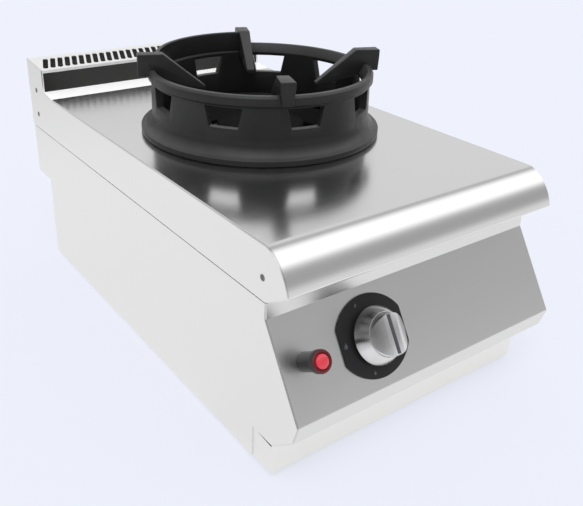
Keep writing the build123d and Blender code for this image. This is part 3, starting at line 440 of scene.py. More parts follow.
def make_finishes():
    """Every finish once, by the record's slot, or the node, that it belongs to."""
    c = colours()
    pale = tint(c.sheet, 1.07)[:3]
    # the button's red darkened as painted shade for the rim round the button
    rim = tint(c.button, 0.16)[:3]
    enamel = (0.006, 0.006, 0.0065)
    return {
        "stainless_sheet": steel("brushed_sheet", c.sheet, 0.30),
        # the deck carries the ramp's painted highlight and glow
        "stainless_deck": steel("satin_deck", c.deck, 0.19, grain=(60, 1, 60), zone=ramp_painted_highlight_zone),
        "stainless_panel": steel("satin_panel", c.panel, 0.32, lean=PANEL_LEAN, contrast=0.012),
        # the riser's inside is painted dark as shade
        "flue_riser": steel("riser_sheet", pale, 0.40, shine=0.3, zone=flue_painted_shade_zone),
        "galvanised_steel": metal("zinc_plate", (0.50, 0.52, 0.54), 0.42, 0.06, 500.0, spots=0.5),
        "screw_steel": metal("screw_steel", (0.52, 0.52, 0.53), 0.32),
        # painted shade: the screw heads are darker, as the shade in their countersinks
        "screw_shade": metal("screw_shade", (0.24, 0.24, 0.25), 0.42),
        "foot_steel": metal("foot_steel", (0.42, 0.42, 0.43), 0.36),
        "insulation_wool": wool("mineral_wool", (0.62, 0.55, 0.36)),
        "burner_iron": cast_iron("burner_iron", (0.006, 0.006, 0.0058), 0.65, grit=0.5, gloss=0.1),
        "burner_brass": metal("burner_brass", (0.72, 0.52, 0.24), 0.34),
        "copper_pipe": metal("copper_pipe", (0.80, 0.42, 0.28), 0.28),
        # painted light makes the ring's upper faces lighter
        "wok_ring_iron": cast_iron("ring_iron", c.iron, 0.34, grit=0.2, painted_top_light=2.8),
        "well_enamel": moulded("well_enamel", enamel, 0.55, 0.12, 260.0, gloss=0.15),
        "knob_satin_metal": metal("knob_satin", (0.80, 0.80, 0.81), 0.24, 0.04, 900.0, shaded=0.2),
        "bezel_black": moulded("bezel_charcoal", c.bezel, 0.5, grit=0.25, gloss=0.3),
        "igniter_black": moulded("igniter_black", (0.007, 0.007, 0.0075), 0.34),
        "button_red": moulded("button_red", c.button, 0.24, 0.03, 900.0, coat=0.4),
        "rim_red_painted_shade": moulded("rim_red_painted_shade", rim, 0.3),
        "lead_rubber": moulded("lead_silicone", (0.25, 0.035, 0.03), 0.55, 0.2, 700.0),
        "ceramic_white": moulded("ceramic_glaze", (0.80, 0.78, 0.72), 0.2, 0.03, 500.0, coat=0.5),
        "mark_grey": moulded("mark_grey", (0.075, 0.075, 0.08), 0.45),
    }


FINISHES = {}


# ---------------------------------------------------------------- modelling helpers
def pick(piece):
    """Select just one piece and make it the active one."""
    bpy.ops.object.select_all(action="DESELECT")
    piece.select_set(True)
    bpy.context.view_layer.objects.active = piece


def select_where(piece, test):
    """In edit mode, select just the vertices whose place passes a test."""
    bpy.ops.mesh.select_all(action="DESELECT")
    bpy.ops.object.mode_set(mode="OBJECT")
    for vertex in piece.data.vertices:
        vertex.select = test(vertex.co)
    bpy.ops.object.mode_set(mode="EDIT")
    bpy.ops.mesh.select_mode(type="VERT")


def begin(name, points):
    """A new mesh drawn by extruding one vertex along the points. Edit mode stays on, all selected."""
    places = [Vector(point) * MM for point in points]
    bpy.ops.object.select_all(action="DESELECT")
    bpy.ops.mesh.primitive_plane_add(size=0.02, location=(0, 0, 0))
    piece = bpy.context.object
    piece.name = piece.data.name = name
    bpy.ops.object.mode_set(mode="EDIT")
    bpy.ops.mesh.merge(type="CENTER")
    bpy.ops.transform.translate(value=places[0])
    for before, after in zip(places, places[1:]):
        bpy.ops.mesh.extrude_vertices_move(TRANSFORM_OT_translate={"value": after - before})
    bpy.ops.mesh.select_all(action="SELECT")
    return piece


def close_solid():
    """Merge what meets, turn the faces outwards and leave edit mode."""
    bpy.ops.mesh.select_all(action="SELECT")
    bpy.ops.mesh.remove_doubles(threshold=MERGE_GAP)
    bpy.ops.mesh.normals_make_consistent(inside=False)
    bpy.ops.object.mode_set(mode="OBJECT")


def lathe(name, profile, steps=96, start=0.0, turn=2 * pi):
    """A closed (r, z) outline turned about Z."""
    loop = [(r * cos(start), r * sin(start), z) for r, z in profile]
    piece = begin(name, loop + loop[:1])
    bpy.ops.mesh.remove_doubles(threshold=MERGE_GAP)
    if turn < 2 * pi:
        bpy.ops.mesh.edge_face_add()
    bpy.ops.mesh.spin(steps=steps, angle=turn, center=(0, 0, 0), axis=(0, 0, -1))
    close_solid()
    return piece


def bore(radius, low, high, steps=96):
    """A round cutter about Z."""
    return lathe("hole", [(0, low), (radius, low), (radius, high), (0, high)], steps)


def plate(name, outline, low, thickness, axis="X"):
    """A flat plate: its outline filled, then extruded along X, Y or Z."""
    along = "XYZ".index(axis)
    loop = [(*point[:along], low, *point[along:]) for point in outline]
    depth = tuple(thickness * MM * (k == along) for k in range(3))
    piece = begin(name, loop + loop[:1])
    bpy.ops.mesh.remove_doubles(threshold=MERGE_GAP)
    bpy.ops.mesh.edge_face_add()
    bpy.ops.mesh.extrude_region_move(TRANSFORM_OT_translate={"value": depth})
    close_solid()
    return piece


def folded(name, path):
    """A sheet folded along a (y, z) path, as wide as the inside of the body."""
    piece = begin(name, [(-INNER, y, z) for y, z in path])
    bpy.ops.mesh.extrude_region_move(TRANSFORM_OT_translate={"value": (2 * INNER * MM, 0, 0)})
    bpy.ops.mesh.select_all(action="SELECT")
    bpy.ops.mesh.normals_make_consistent(inside=False)
    bpy.ops.object.mode_set(mode="OBJECT")
    wall = piece.modifiers.new("wall", "SOLIDIFY")
    wall.thickness = SHEET * MM
    wall.offset = 1.0
    wall.use_even_offset = True
    apply_modifiers(piece)
    return piece


def rounded(points, radius, steps=5):
    """The points of a 2D path with each inner corner replaced by an arc."""
    out = [Vector(points[0])]
    for before, corner, after in zip(points, points[1:], points[2:]):
        before, corner, after = Vector(before), Vector(corner), Vector(after)
        back, onward = (before - corner), (after - corner)
        turn = pi - back.angle(onward)
        reach = min(radius * abs(sin(turn / 2) / cos(turn / 2)), back.length * 0.4, onward.length * 0.4)
        first, last = corner + back.normalized() * reach, corner + onward.normalized() * reach
        for k in range(steps + 1):
            t = k / steps
            out.append(first.lerp(corner, t).lerp(corner.lerp(last, t), t))
    out.append(Vector(points[-1]))
    return [tuple(p) for p in out]


def spaced(low, high, steps):
    """Evenly spaced numbers, both ends included."""
    return [low + (high - low) * k / steps for k in range(steps + 1)]


def arc_through(first, middle, last, steps):
    """Points on the circle through three 2D points, ends included."""
    (ax, ay), (bx, by), (cx, cy) = first, middle, last
    d = 2 * (ax * (by - cy) + bx * (cy - ay) + cx * (ay - by))
    a2, b2, c2 = ax * ax + ay * ay, bx * bx + by * by, cx * cx + cy * cy
    ux = (a2 * (by - cy) + b2 * (cy - ay) + c2 * (ay - by)) / d
    uy = (a2 * (cx - bx) + b2 * (ax - cx) + c2 * (bx - ax)) / d
    radius = sqrt((ax - ux) ** 2 + (ay - uy) ** 2)
    begin_angle, end_angle = atan2(ay - uy, ax - ux), atan2(cy - uy, cx - ux)
    if end_angle - begin_angle > pi:
        end_angle -= 2 * pi
    if begin_angle - end_angle > pi:
        end_angle += 2 * pi
    return [(ux + radius * cos(a), uy + radius * sin(a)) for a in spaced(begin_angle, end_angle, steps)]


def apply_modifiers(piece):
    """Apply every modifier of a piece, in order."""
    pick(piece)
    for modifier in list(piece.modifiers):
        bpy.ops.object.modifier_apply(modifier=modifier.name)


def round_edges(piece, width, segments, angle):
    """Round the edges of a piece that are sharper than an angle, by a width in metres."""
    bevel = piece.modifiers.new("round", "BEVEL")
    bevel.width = width
    bevel.segments = segments
    bevel.limit_method = "ANGLE"
    bevel.angle_limit = radians(angle)
    bevel.use_clamp_overlap = True
    apply_modifiers(piece)


def round_where(piece, test, width):
    """Round just the edges whose two ends pass a test, by a width in metres."""
    pick(piece)
    bpy.ops.object.mode_set(mode="EDIT")
    bpy.ops.mesh.select_mode(type="VERT")
    select_where(piece, test)
    bpy.ops.mesh.bevel(offset=width, segments=2, affect="EDGES")
    bpy.ops.object.mode_set(mode="OBJECT")


def cut(piece, *cutters):
    """Cut solids out of a piece and delete them."""
    for cutter in cutters:
        hole = piece.modifiers.new("cut", "BOOLEAN")
        hole.object = cutter
        hole.operation = "DIFFERENCE"
        hole.solver = "EXACT"
        apply_modifiers(piece)
        bpy.data.objects.remove(cutter)


def place(piece, matrix):
    """Move a piece by a matrix and apply it, so that its object stays at the origin."""
    pick(piece)
    piece.matrix_world = matrix
    bpy.ops.object.transform_apply(location=True, rotation=True, scale=True)


def copy_of(piece, name, matrix):
    """A copy with its own mesh, moved by a matrix."""
    twin = piece.copy()
    twin.data = piece.data.copy()
    twin.name = twin.data.name = name
    bpy.context.scene.collection.objects.link(twin)
    place(twin, matrix)
    return twin


def joined(name, pieces):
    """Several pieces as one."""
    pick(pieces[0])
    for piece in pieces[1:]:
        piece.select_set(True)
    bpy.ops.object.join()
    pieces[0].name = pieces[0].data.name = name
    return pieces[0]


def dress(piece, slot, body="range", replaces=(), angle=30.0, finish=None):
    """Smooth a finished piece up to an angle, give it its finish and tie it to its body."""
    pick(piece)
    bpy.ops.object.shade_smooth_by_angle(angle=radians(angle))
    piece.data.materials.clear()
    piece.data.materials.append(FINISHES[finish or slot])
    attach(piece, body)
    if replaces:
        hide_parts(*replaces)


def on_panel(x, down):
    """The frame of a control: Z out of the slanted panel, X across it."""
    y = PANEL_TOP_Y - down * PANEL_RUN / PANEL_LENGTH
    z = PANEL_TOP_Z - down * PANEL_RISE / PANEL_LENGTH
    return Matrix.Translation(Vector((x, y, z)) * MM) @ Matrix.Rotation(pi / 2 - PANEL_LEAN, 4, "X")


def turned_about_z(angle):
    """A turn about the vertical axis through the origin."""
    return Matrix.Rotation(angle, 4, "Z")


RING_PLACE = Matrix.Translation(Vector((0, RING_Y, DECK_Z)) * MM) @ turned_about_z(RING_TURN)
BURNER_PLACE = Matrix.Translation(Vector((0, RING_Y, 0)) * MM)


def nose_arc():
    """(y, z) points down the rolled nose: a gentle start, then the fall to the tip."""
    return arc_through(*NOSE_TURN, 10)[:-1] + arc_through(*NOSE_FALL, 24)


# ---------------------------------------------------------------- operators
class WOKRANGE_OT_finishes(bpy.types.Operator):
    """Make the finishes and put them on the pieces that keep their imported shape"""

    bl_idname = "wokrange.finishes"
    bl_label = "Finishes"

    def execute(self, context):
        FINISHES.update(make_finishes())
        for entry in frame["record"]["subparts"]:
            node = entry["node"]
            for material_slot in frame["nodes"][node].material_slots:
                material_slot.material = FINISHES.get(node, FINISHES[entry["material_slot"]])
        return {"FINISHED"}


class WOKRANGE_OT_hob_deck(bpy.types.Operator):
    """Deck sheet: rolled nose, flat deck with the burner hole, ramp and turned-down back"""

    bl_idname = "wokrange.hob_deck"
    bl_label = "Hob deck"

    def execute(self, context):
        bend = sizes().bend_radius / MM
        start = [(RISER_FRONT_Y, SEAM_Z), (RISER_FRONT_Y, RAMP_TOP_Z), (RAMP_Y, DECK_Z)]
        arc = nose_arc()
        deck_path = rounded(start + arc[:1], bend)[:-1] + arc[:-1]
        nose_path = rounded([arc[-2], arc[-1], (PANEL_TOP_Y, SEAM_Z)], bend)[1:]
        deck = folded("hob_deck", deck_path + nose_path)
        hole = bore(DECK_HOLE_RADIUS, DECK_Z - 10, DECK_Z + 10)
        place(hole, BURNER_PLACE)
        cut(deck, hole)

        def on_hole_edge(at):
            radius = sqrt(at.x ** 2 + (at.y - RING_Y * MM) ** 2)
            return at.z > (DECK_Z - 2) * MM and abs(radius - DECK_HOLE_RADIUS * MM) < 0.4 * MM

        round_where(deck, on_hole_edge, sizes().sheet_edge)
        dress(deck, "stainless_deck", replaces=["hob_top"], angle=20.0)
        return {"FINISHED"}


class WOKRANGE_OT_hob_sides(bpy.types.Operator):
    """End plates with the nose outline, the side of the riser and its slit"""

    bl_idname = "wokrange.hob_sides"
    bl_label = "Hob sides"

    def execute(self, context):
        outline = [
            (RISER_FRONT_Y, RAMP_TOP_Z), (RISER_FRONT_Y, RISER_FRONT_Z), (BACK_Y, RISER_BACK_Z),
            (BACK_Y, SLIT_HIGH_Z), (BACK_Y - SHEET, SLIT_HIGH_Z), (BACK_Y - SHEET, SLIT_LOW_Z),
            (BACK_Y, SLIT_LOW_Z), (BACK_Y, RISER_FLOOR_Z), (BACK_Y - 5.5, END_LOW_Z),
            (PANEL_TOP_Y, END_LOW_Z)]
        outline += nose_arc()[::-1] + [(RAMP_Y, DECK_Z)]
        for side, low in (("left", -HALF_WIDTH), ("right", INNER)):
            end = plate("hob_end_" + side, outline, low, SHEET)
            round_where(end, lambda at: abs(at.x) > (HALF_WIDTH - 0.1) * MM, sizes().sheet_edge)
            dress(end, "stainless_sheet", replaces=["hob_side_" + side], angle=20.0)
        return {"FINISHED"}


class WOKRANGE_OT_control_panel(bpy.types.Operator):
    """Front sheet: upright strip, slanted face, lip and underside, with the two control holes"""

    bl_idname = "wokrange.control_panel"
    bl_label = "Control panel"

    def execute(self, context):
        path = [
            (PANEL_TOP_Y, SIDE_TOP_Z), (PANEL_TOP_Y, PANEL_TOP_Z), (PANEL_FOOT_Y, PANEL_FOOT_Z),
            (LIP_Y, LIP_Z), (PLINTH_Y, NOTCH_Z), (PLINTH_Y + 22, NOTCH_Z)]
        panel = folded("panel_sheet", rounded(path, sizes().bend_radius / MM))
        for at, radius in ((KNOB_AT, KNOB_HOLE), (IGNITER_AT, IGNITER_HOLE)):
            hole = bore(radius, -6, 6, 48)
            place(hole, on_panel(*at))
            cut(panel, hole)
        dress(panel, "stainless_panel", replaces=["control_panel"], angle=20.0)
        return {"FINISHED"}


class WOKRANGE_OT_plinth(bpy.types.Operator):
    """Kick channel with rounded corners, its side returns cut lower towards the front"""

    bl_idname = "wokrange.plinth"
    bl_label = "Plinth"

    def execute(self, context):
        back, inset, front = PLINTH_BACK_Y, INNER - SHEET, PLINTH_Y + SHEET
        outer = [(-INNER, back), (-INNER, PLINTH_Y), (INNER, PLINTH_Y), (INNER, back)]
        inner = [(inset, back), (inset, front), (-inset, front), (-inset, back)]
        outline = rounded(outer, 2.4, 5) + rounded(inner, 0.9, 3)
        channel = plate("plinth_channel", outline, BASE_Z, NOTCH_Z - BASE_Z, "Z")
        gap = [(front, NOTCH_Z + 1), (front, NOTCH_Z - 4.5), (back + 1, NOTCH_Z - 0.5), (back + 1, NOTCH_Z + 1)]
        for low in (-INNER - 1, INNER - SHEET):
            cut(channel, plate("gap", gap, low, SHEET + 1))
        corners = [(-inset, front), (inset, front), (inset, PLINTH_Y + 25), (-inset, PLINTH_Y + 25)]
        flange = plate("plinth_flange", corners, NOTCH_Z - SHEET, SHEET, "Z")
        dress(joined("plinth_channel", [channel, flange]), "stainless_sheet", replaces=["plinth"], angle=40.0)
        return {"FINISHED"}


class WOKRANGE_OT_wok_ring(bpy.types.Operator):
    """Cast wok ring: flared foot, nine windows, rolled rim and the guard at the back"""

    bl_idname = "wokrange.wok_ring"
    bl_label = "Wok ring"

    def execute(self, context):
        flare = arc_through((147.6, 34), (150.2, 18.5), (157.2, 10.6), 10)
        foot = [(162.4, 9.4), (162.4, 3), (158, 0), (146, 0), (138.5, 16)]
        rim = [(137, 66), (135.5, 74), (143, 86), (148.5, 86), (151, 83), (151, 74), (147, 70.5)]
        ring = lathe("ring_casting", flare + foot + rim, sizes().ring_steps)
        high, low = WALL_RADIUS * sin(WINDOW_HALF_HIGH), WALL_RADIUS * sin(WINDOW_HALF_LOW)
        wedge = [(-high, WINDOW_HIGH), (-low, WINDOW_LOW), (low, WINDOW_LOW), (high, WINDOW_HIGH)]
        window = plate("window", wedge, 120, 60)
        cutters = [copy_of(window, "window", turned_about_z(radians(angle))) for angle in WINDOW_ANGLES]
        bpy.data.objects.remove(window)
        cut(ring, joined("windows", cutters))
        round_edges(ring, sizes().cast_edge, 2, 38.0)
        wall = [(135.5, 78), (140.5, 78), (140.5, 103.5), (139.5, 104.5), (136.5, 104.5), (135.5, 103.5)]
        guard = lathe("ring_guard", wall, 60, radians(45), radians(90))
        round_edges(guard, sizes().cast_edge * 0.5, 2, 50.0)
        for piece, replaced in ((ring, ["wok_ring"]), (guard, [])):
            place(piece, RING_PLACE)
            dress(piece, "wok_ring_iron", "wok_ring", replaced)
        return {"FINISHED"}


class WOKRANGE_OT_wok_lugs(bpy.types.Operator):
    """Four wok rests hooked over the rim, each tapered towards its tip"""

    bl_idname = "wokrange.wok_lugs"
    bl_label = "Wok lugs"

    def execute(self, context):
        side = [
            (LUG_OUTER_RADIUS, LUG_FOOT_Z), (LUG_OUTER_RADIUS, 106.5), (131, 106.5), (112, 91), (94, 76.5),
            (LUG_TIP_RADIUS, 62), (LUG_TIP_RADIUS, 56), (106, 63.4), (136, 70.8), (145, LUG_FOOT_Z)]
        wide, narrow = LUG_OUTER_WIDTH / 2, LUG_HOOK_WIDTH / 2
        lug = plate("lug", side, -wide, 2 * wide, "Y")
        pick(lug)
        bpy.ops.object.mode_set(mode="EDIT")
        growth = (LUG_OUTER_WIDTH - LUG_TIP_WIDTH) / (LUG_OUTER_RADIUS - LUG_TIP_RADIUS)
        for radius in sorted({r for r, z in side}):
            width = LUG_TIP_WIDTH + (radius - LUG_TIP_RADIUS) * growth
            select_where(lug, lambda at: abs(at.x / MM - radius) < 0.1)
            bpy.ops.transform.resize(value=(1, width / LUG_OUTER_WIDTH, 1), center_override=(0, 0, 0))
        close_solid()
        for hand in (-1, 1):
            taper = [(wide + 1, 98), (wide, 98), (narrow, LUG_FOOT_Z), (narrow, 76), (wide + 1, 76)]
            taper = [(hand * across, z) for across, z in taper]
            cut(lug, plate("taper", taper, LUG_HOOK_RADIUS, LUG_OUTER_RADIUS + 1 - LUG_HOOK_RADIUS))
        round_edges(lug, sizes().cast_edge * 1.2, 3, 28.0)
        names = ("front_left", "front_right", "rear_right", "rear_left")
        for k, name in enumerate(names):
            rest = copy_of(lug, "lug_" + name, RING_PLACE @ turned_about_z(radians(225 + 90 * k)))
            dress(rest, "wok_ring_iron", "wok_ring", ["wok_lugs"])
        bpy.data.objects.remove(lug)
        return {"FINISHED"}


class WOKRANGE_OT_burner(bpy.types.Operator):
    """Pressed burner well and the domed burner cap"""

    bl_idname = "wokrange.burner"
    bl_label = "Burner"

    def execute(self, context):
        top = rounded([(139, 0.2), (139, SHEET), (119.5, SHEET), (104, -16), (104, -22)], 2.5, 4)
        under = rounded([(102.5, -22), (102.5, -16.4), (118.6, 0), (137, 0)], 2.0, 4)
        well = lathe("burner_well_sheet", top + under, 120)
        place(well, RING_PLACE)
        dress(well, "well_enamel", replaces=["burner_well"])
        seat = [(0, -4), (49.5, -4), (49.5, 0), (CAP_RADIUS, 0)]
        dome = arc_through((CAP_RADIUS, 3), (32, 9.6), (0, 11.5), 12)
        cap = lathe("burner_lid", [(r, CROWN_TOP_Z + z) for r, z in seat + dome])
        round_edges(cap, sizes().cast_edge * 0.7, 2, 50.0)
        place(cap, BURNER_PLACE)
        dress(cap, "burner_iron", "burner_cap", ["burner_cap"])
        return {"FINISHED"}


class WOKRANGE_OT_bezel(bpy.types.Operator):
    """Charcoal plate behind the knob, with three raised setting marks"""

    bl_idname = "wokrange.bezel"
    bl_label = "Bezel"

    def execute(self, context):
        side = BEZEL_HALF_WIDTH
        turn = acos(side / BEZEL_ARC_RADIUS)
        height = BEZEL_ARC_RADIUS * sin(turn) - BEZEL_ARC_DROP
        arc = [(BEZEL_ARC_RADIUS * cos(a), BEZEL_ARC_RADIUS * sin(a) - BEZEL_ARC_DROP)
               for a in spaced(turn + BEZEL_EASE, pi - turn - BEZEL_EASE, 32)]
        right = rounded([(side, height - 7), (side, height), arc[0]], 40.0, 6)
        left = rounded([arc[-1], (-side, height), (-side, height - 7)], 40.0, 6)
        half = right[:-1] + arc + left[1:]
        bezel = plate("bezel_plate", half + [(-x, -y) for x, y in half], 0, BEZEL_THICKNESS, "Z")
        cut(bezel, bore(KNOB_HOLE, -1, BEZEL_THICKNESS + 2, 48))
        round_edges(bezel, 0.0009, 3, 40.0)
        place(bezel, on_panel(*KNOB_AT))
        dress(bezel, "bezel_black", replaces=["control_bezel"])
        flame = [(0, -3.2), (1.9, -2.4), (2.5, -0.4), (1.6, 1.5), (0.3, 4.2), (-0.4, 1.6), (-1.9, 0.6),
                 (-2.4, -1.2), (-1.5, -2.8)]
        marks = []
        for angle, size in SETTING_MARKS:
            outline = rounded([(x * size, y * size) for x, y in flame], 1.0, 3)
            mark = plate("mark", outline, BEZEL_THICKNESS - 0.1, 0.25, "Z")
            at = Vector((cos(radians(angle)), sin(radians(angle)), 0)) * MARK_RADIUS * MM
            place(mark, on_panel(*KNOB_AT) @ Matrix.Translation(at))
            marks.append(mark)
        dress(joined("bezel_marks", marks), "bezel_black", finish="mark_grey")
        return {"FINISHED"}


class WOKRANGE_OT_knob(bpy.types.Operator):
    """Satin knob: flared skirt, and the grip bar with its pointer groove and dark inlay"""

    bl_idname = "wokrange.knob"
    bl_label = "Knob"

    def execute(self, context):
        skirt = [(0, 9), (31, 9), (32.2, 12), (24.3, 27.8), (0, 27.8)]
        skirt = lathe("knob_skirt", rounded(skirt, 0.8, 3))
        ridge, reach, high = sizes().grip_width / MM / 2, GRIP_REACH, GRIP_TOP
        flank = arc_through((reach, GRIP_FOOT), (16.5, 33.9), (ridge, high), 10)
        section = [(reach, 24)] + flank + [(-x, z) for x, z in flank[::-1]] + [(-reach, 24)]
        grip = plate("knob_grip", section, -reach, 2 * reach, "Y")
        trim = lathe("trim", [(reach, 20), (reach, 28), (21.3, 45), (60, 45), (60, 20)])
        half, deep = GROOVE_HALF, high - GROOVE_DEPTH
        notch = [(-half, high + 1), (-half, deep), (half, high), (half, high + 1)]
        groove = plate("groove", notch, -30, 60, "Y")
        cut(grip, trim, groove)
        round_edges(grip, 0.0008, 2, 28.0)
        knob = joined("knob_grip", [grip, skirt])
        place(knob, on_panel(*KNOB_AT))
        dress(knob, "knob_satin_metal", "knob", ["control_knob"])
        inlay = [(-half, deep - 0.1), (-half, deep + 0.7), (2.0, high - 0.1), (2.0, high - 0.9)]
        pointer = plate("knob_pointer", inlay, -21, 42, "Y")
        place(pointer, on_panel(*KNOB_AT))
        dress(pointer, "knob_satin_metal", "knob", finish="mark_grey")
        return {"FINISHED"}


class WOKRANGE_OT_igniter(bpy.types.Operator):
    """Black collar with a red rim painted dark as shade, and the domed red button"""

    bl_idname = "wokrange.igniter"
    bl_label = "Igniter"

    def execute(self, context):
        outline = [(0, -40), (9.4, -40), (9.4, 0), (10.4, 0), (10.4, 24), (12.2, 25.5), (12.2, 32.2),
                   (8.2, 32.2), (8.2, -25), (0, -25)]
        collar = lathe("igniter_collar", rounded(outline, 0.9, 3), 72)
        place(collar, on_panel(*IGNITER_AT))
        dress(collar, "igniter_black", replaces=["igniter_body"])
        outline = [(10, 31), (11.8, 31), (11.8, 32.6), (10.6, 33.6), (8.9, 33.6), (8.1, 32.4), (8.1, 31),
                   (10, 31)]
        rim = lathe("igniter_rim", rounded(outline, 0.5, 2)[:-1], 72)
        place(rim, on_panel(*IGNITER_AT))
        # painted shade: the rim wears the button's red made dark
        dress(rim, "button_red", finish="rim_red_painted_shade")
        dome = arc_through((7.3, 34.1), (4.4, 35.4), (0, 36.0), 10)
        button = lathe("igniter_cap", [(0, -8), (7, -8), (7, 20), (7.7, 20), (7.7, 33.2)] + dome, 72)
        place(button, on_panel(*IGNITER_AT))
        dress(button, "button_red", "igniter_button", ["igniter_button"], 40.0)
        return {"FINISHED"}


class WOKRANGE_OT_fasteners(bpy.types.Operator):
    """Countersunk cross-head screws in the end plates"""

    bl_idname = "wokrange.fasteners"
    bl_label = "Fasteners"

    def execute(self, context):
        head = lathe("head", [(0, -1.4), (2.0, -1.4), (3.8, 0), (3.8, 0.2), (3.2, 0.45), (0, 0.55)], 32)
        for angle in (0, pi / 2):
            cross = plate("slot", [(-2.2, -0.7), (2.2, -0.7), (2.2, 1), (-2.2, 1)], -0.35, 0.7)
            place(cross, turned_about_z(angle))
            cut(head, cross)
        screws = []
        for side in (-1, 1):
            for y, z in SIDE_SCREWS:
                at = Vector((side * HALF_WIDTH, y, z)) * MM
                outward = Matrix.Rotation(side * pi / 2, 4, "Y")
                screws.append(copy_of(head, "screw", Matrix.Translation(at) @ outward))
        bpy.data.objects.remove(head)
        screws = joined("end_plate_screws", screws)
        # the screw heads get the darker finish as painted shade of their countersinks
        dress(screws, "screw_steel", replaces=["side_screws"], finish="screw_shade")
        return {"FINISHED"}


class WOKRANGE_OT_stage(bpy.types.Operator):
    """Pale floor, even studio light and the camera"""

    bl_idname = "wokrange.stage"
    bl_label = "Stage"

    def execute(self, context):
        bpy.ops.object.select_all(action="DESELECT")
        bpy.ops.mesh.primitive_plane_add(size=30, location=(0, 0, 0))
        floor = bpy.context.object
        floor.name = "floor"
        floor.data.materials.append(floor_finish())
        studio_world()
        lamp("key", (-0.9, -1.0, 2.2), 1.1, 35.0)
        camera = bpy.data.cameras.new("camera")
        camera.sensor_width = 36.0
        camera.lens = CAMERA_LENS
        camera.shift_x, camera.shift_y = CAMERA_SHIFT
        holder = bpy.data.objects.new("camera", camera)
        bpy.context.scene.collection.objects.link(holder)
        azimuth, elevation = radians(CAMERA_AZIMUTH), radians(CAMERA_ELEVATION)
        back = Vector((sin(azimuth) * cos(elevation), -cos(azimuth) * cos(elevation), sin(elevation)))
        aim = (-back).to_track_quat("-Z", "Y").to_matrix().to_4x4()
        stand = Matrix.Translation(Vector(CAMERA_TARGET) * MM + back * CAMERA_DISTANCE * MM)
        holder.matrix_world = stand @ aim @ Matrix.Rotation(radians(CAMERA_ROLL), 4, "Z")
        bpy.context.scene.camera = holder
        bpy.context.scene.view_settings.view_transform = "Standard"
        return {"FINISHED"}


def lamp(name, at, strength, angle):
    """A soft sun that shines from a point towards the range."""
    light = bpy.data.lights.new(name, "SUN")
    light.energy = strength
    light.angle = radians(angle)
    holder = bpy.data.objects.new(name, light)
    holder.visible_glossy = False
    bpy.context.scene.collection.objects.link(holder)
    toward = Vector((0, 0, 0.15)) - Vector(at)
    holder.matrix_world = Matrix.Translation(at) @ toward.to_track_quat("-Z", "Y").to_matrix().to_4x4()


def floor_finish():
    """Pale floor that keeps a soft shadow; metal sees it a little darker further away."""
    material, tree, shader, add = nodes_of("pale_floor")
    colour = (*colours().backdrop, 1.0)
    place_on = add("ShaderNodeTexCoord").outputs["Object"]
    haze = pattern(add, place_on, 1.5, 1.0)
    tree.links.new(tone(add, haze, colours().backdrop, 0.995, 1.0), shader.inputs["Base Color"])
    shader.inputs["Roughness"].default_value = 0.95
    shader.inputs["Specular IOR Level"].default_value = 0.1
    glow = add("ShaderNodeEmission", {"Color": colour, "Strength": 1.0})
    away = add("ShaderNodeVectorMath", {0: place_on}, operation="LENGTH").outputs["Value"]
    fading = add("ShaderNodeMapRange", {
        "Value": away, "From Min": 0.8, "From Max": 1.6, "To Min": 1.0, "To Max": 0.8}).outputs[0]
    mirrored = add("ShaderNodeEmission", {"Color": MIRRORED_FLOOR, "Strength": fading})
    path = add("ShaderNodeLightPath")
    share = add("ShaderNodeMath", {0: path.outputs["Is Camera Ray"], 1: 0.7}, operation="MULTIPLY")
    seen = add("ShaderNodeMixShader", {0: share.outputs[0], 1: shader.outputs[0], 2: glow.outputs[0]})
    share = add("ShaderNodeMath", {0: path.outputs["Is Glossy Ray"], 1: 0.75}, operation="MULTIPLY")
    mix = add("ShaderNodeMixShader", {0: share.outputs[0], 1: seen.outputs[0], 2: mirrored.outputs[0]})
    tree.links.new(mix.outputs[0], tree.nodes["Material Output"].inputs["Surface"])
    return material


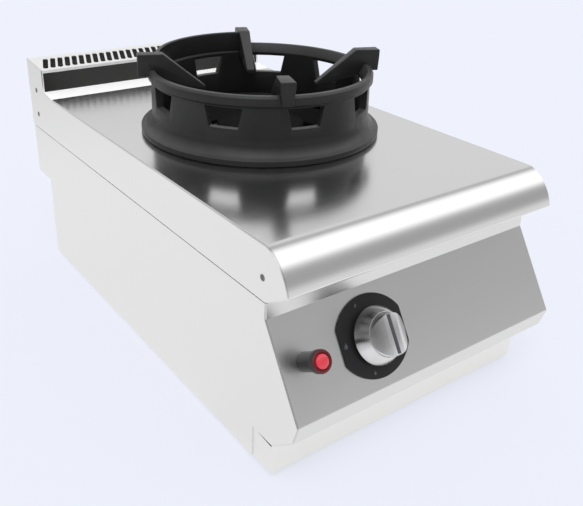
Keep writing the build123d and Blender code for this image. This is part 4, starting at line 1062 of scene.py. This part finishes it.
def studio_world():
    """Even white light; metal sees a studio with a grey front, a white sky and a dim back."""
    world = bpy.data.worlds.new("studio")
    bpy.context.scene.world = world
    world.use_nodes = True
    tree = world.node_tree
    tree.nodes.clear()
    add = node_maker(tree)
    path = add("ShaderNodeLightPath").outputs
    direction = add("ShaderNodeSeparateXYZ", {0: add("ShaderNodeTexCoord").outputs["Generated"]}).outputs
    ahead = add("ShaderNodeMath", {0: direction[1], 1: -1.0}, operation="MULTIPLY").outputs[0]
    angle = add("ShaderNodeMath", {0: direction[2], 1: ahead}, operation="ARCTAN2").outputs[0]
    share = add("ShaderNodeMath", {0: angle, 1: 1 / pi}, operation="MULTIPLY").outputs[0]
    sky = add("ShaderNodeValToRGB", {0: share})
    stops = sky.color_ramp.elements
    stops.remove(stops[0])
    for k, (degree, value) in enumerate(SKY_STOPS):
        stop = stops[0] if k == 0 else stops.new(degree / 180)
        stop.position = degree / 180
        stop.color = (value / SKY_PEAK, value / SKY_PEAK, value / SKY_PEAK, 1)
    left = add("ShaderNodeMapRange", {
        "Value": direction[0], "From Min": -0.95, "From Max": -0.25, "To Min": SKY_LEFT_SHARE, "To Max": 1.0})
    shaded = add("ShaderNodeMix", {"Factor": 1.0, 6: sky.outputs[0], 7: left.outputs[0]},
                 data_type="RGBA", blend_type="MULTIPLY").outputs[2]
    light = add("ShaderNodeBackground", {0: (1, 1, 1, 1), 1: SKY_LIGHT}).outputs[0]
    room = add("ShaderNodeBackground", {0: shaded, 1: SKY_PEAK}).outputs[0]
    backdrop = add("ShaderNodeBackground", {0: (*colours().backdrop, 1), 1: 1.0}).outputs[0]
    lit = add("ShaderNodeMixShader", {0: path["Is Glossy Ray"], 1: light, 2: room}).outputs[0]
    seen = add("ShaderNodeMixShader", {0: path["Is Camera Ray"], 1: lit, 2: backdrop}).outputs[0]
    add("ShaderNodeOutputWorld", {0: seen})


OPERATORS = (
    WOKRANGE_OT_finishes, WOKRANGE_OT_hob_deck, WOKRANGE_OT_hob_sides, WOKRANGE_OT_control_panel,
    WOKRANGE_OT_plinth, WOKRANGE_OT_wok_ring, WOKRANGE_OT_wok_lugs, WOKRANGE_OT_burner,
    WOKRANGE_OT_bezel, WOKRANGE_OT_knob, WOKRANGE_OT_igniter, WOKRANGE_OT_fasteners,
    WOKRANGE_OT_stage,
)


class WOKRANGE_PT_pieces(bpy.types.Panel):
    """Lists the build steps in the sidebar"""

    bl_idname = "WOKRANGE_PT_pieces"
    bl_label = "Wok range"
    bl_space_type = "VIEW_3D"
    bl_region_type = "UI"
    bl_category = "Wok range"

    def draw(self, context):
        for operator in OPERATORS:
            self.layout.operator(operator.bl_idname)


CLASSES = (WokRangeSizes, WokRangeColours, *OPERATORS, WOKRANGE_PT_pieces)


def register():
    """Register the settings, the operators and the panel."""
    for cls in CLASSES:
        bpy.utils.register_class(cls)
    bpy.types.Scene.wok_range_sizes = PointerProperty(type=WokRangeSizes)
    bpy.types.Scene.wok_range_colours = PointerProperty(type=WokRangeColours)


def unregister():
    """Remove them again."""
    del bpy.types.Scene.wok_range_colours
    del bpy.types.Scene.wok_range_sizes
    for cls in reversed(CLASSES):
        bpy.utils.unregister_class(cls)


def main():
    """Build everything in order."""
    register()
    for operator in OPERATORS:
        group, name = operator.bl_idname.split(".")
        getattr(getattr(bpy.ops, group), name)()


if __name__ == "__main__":
    main()
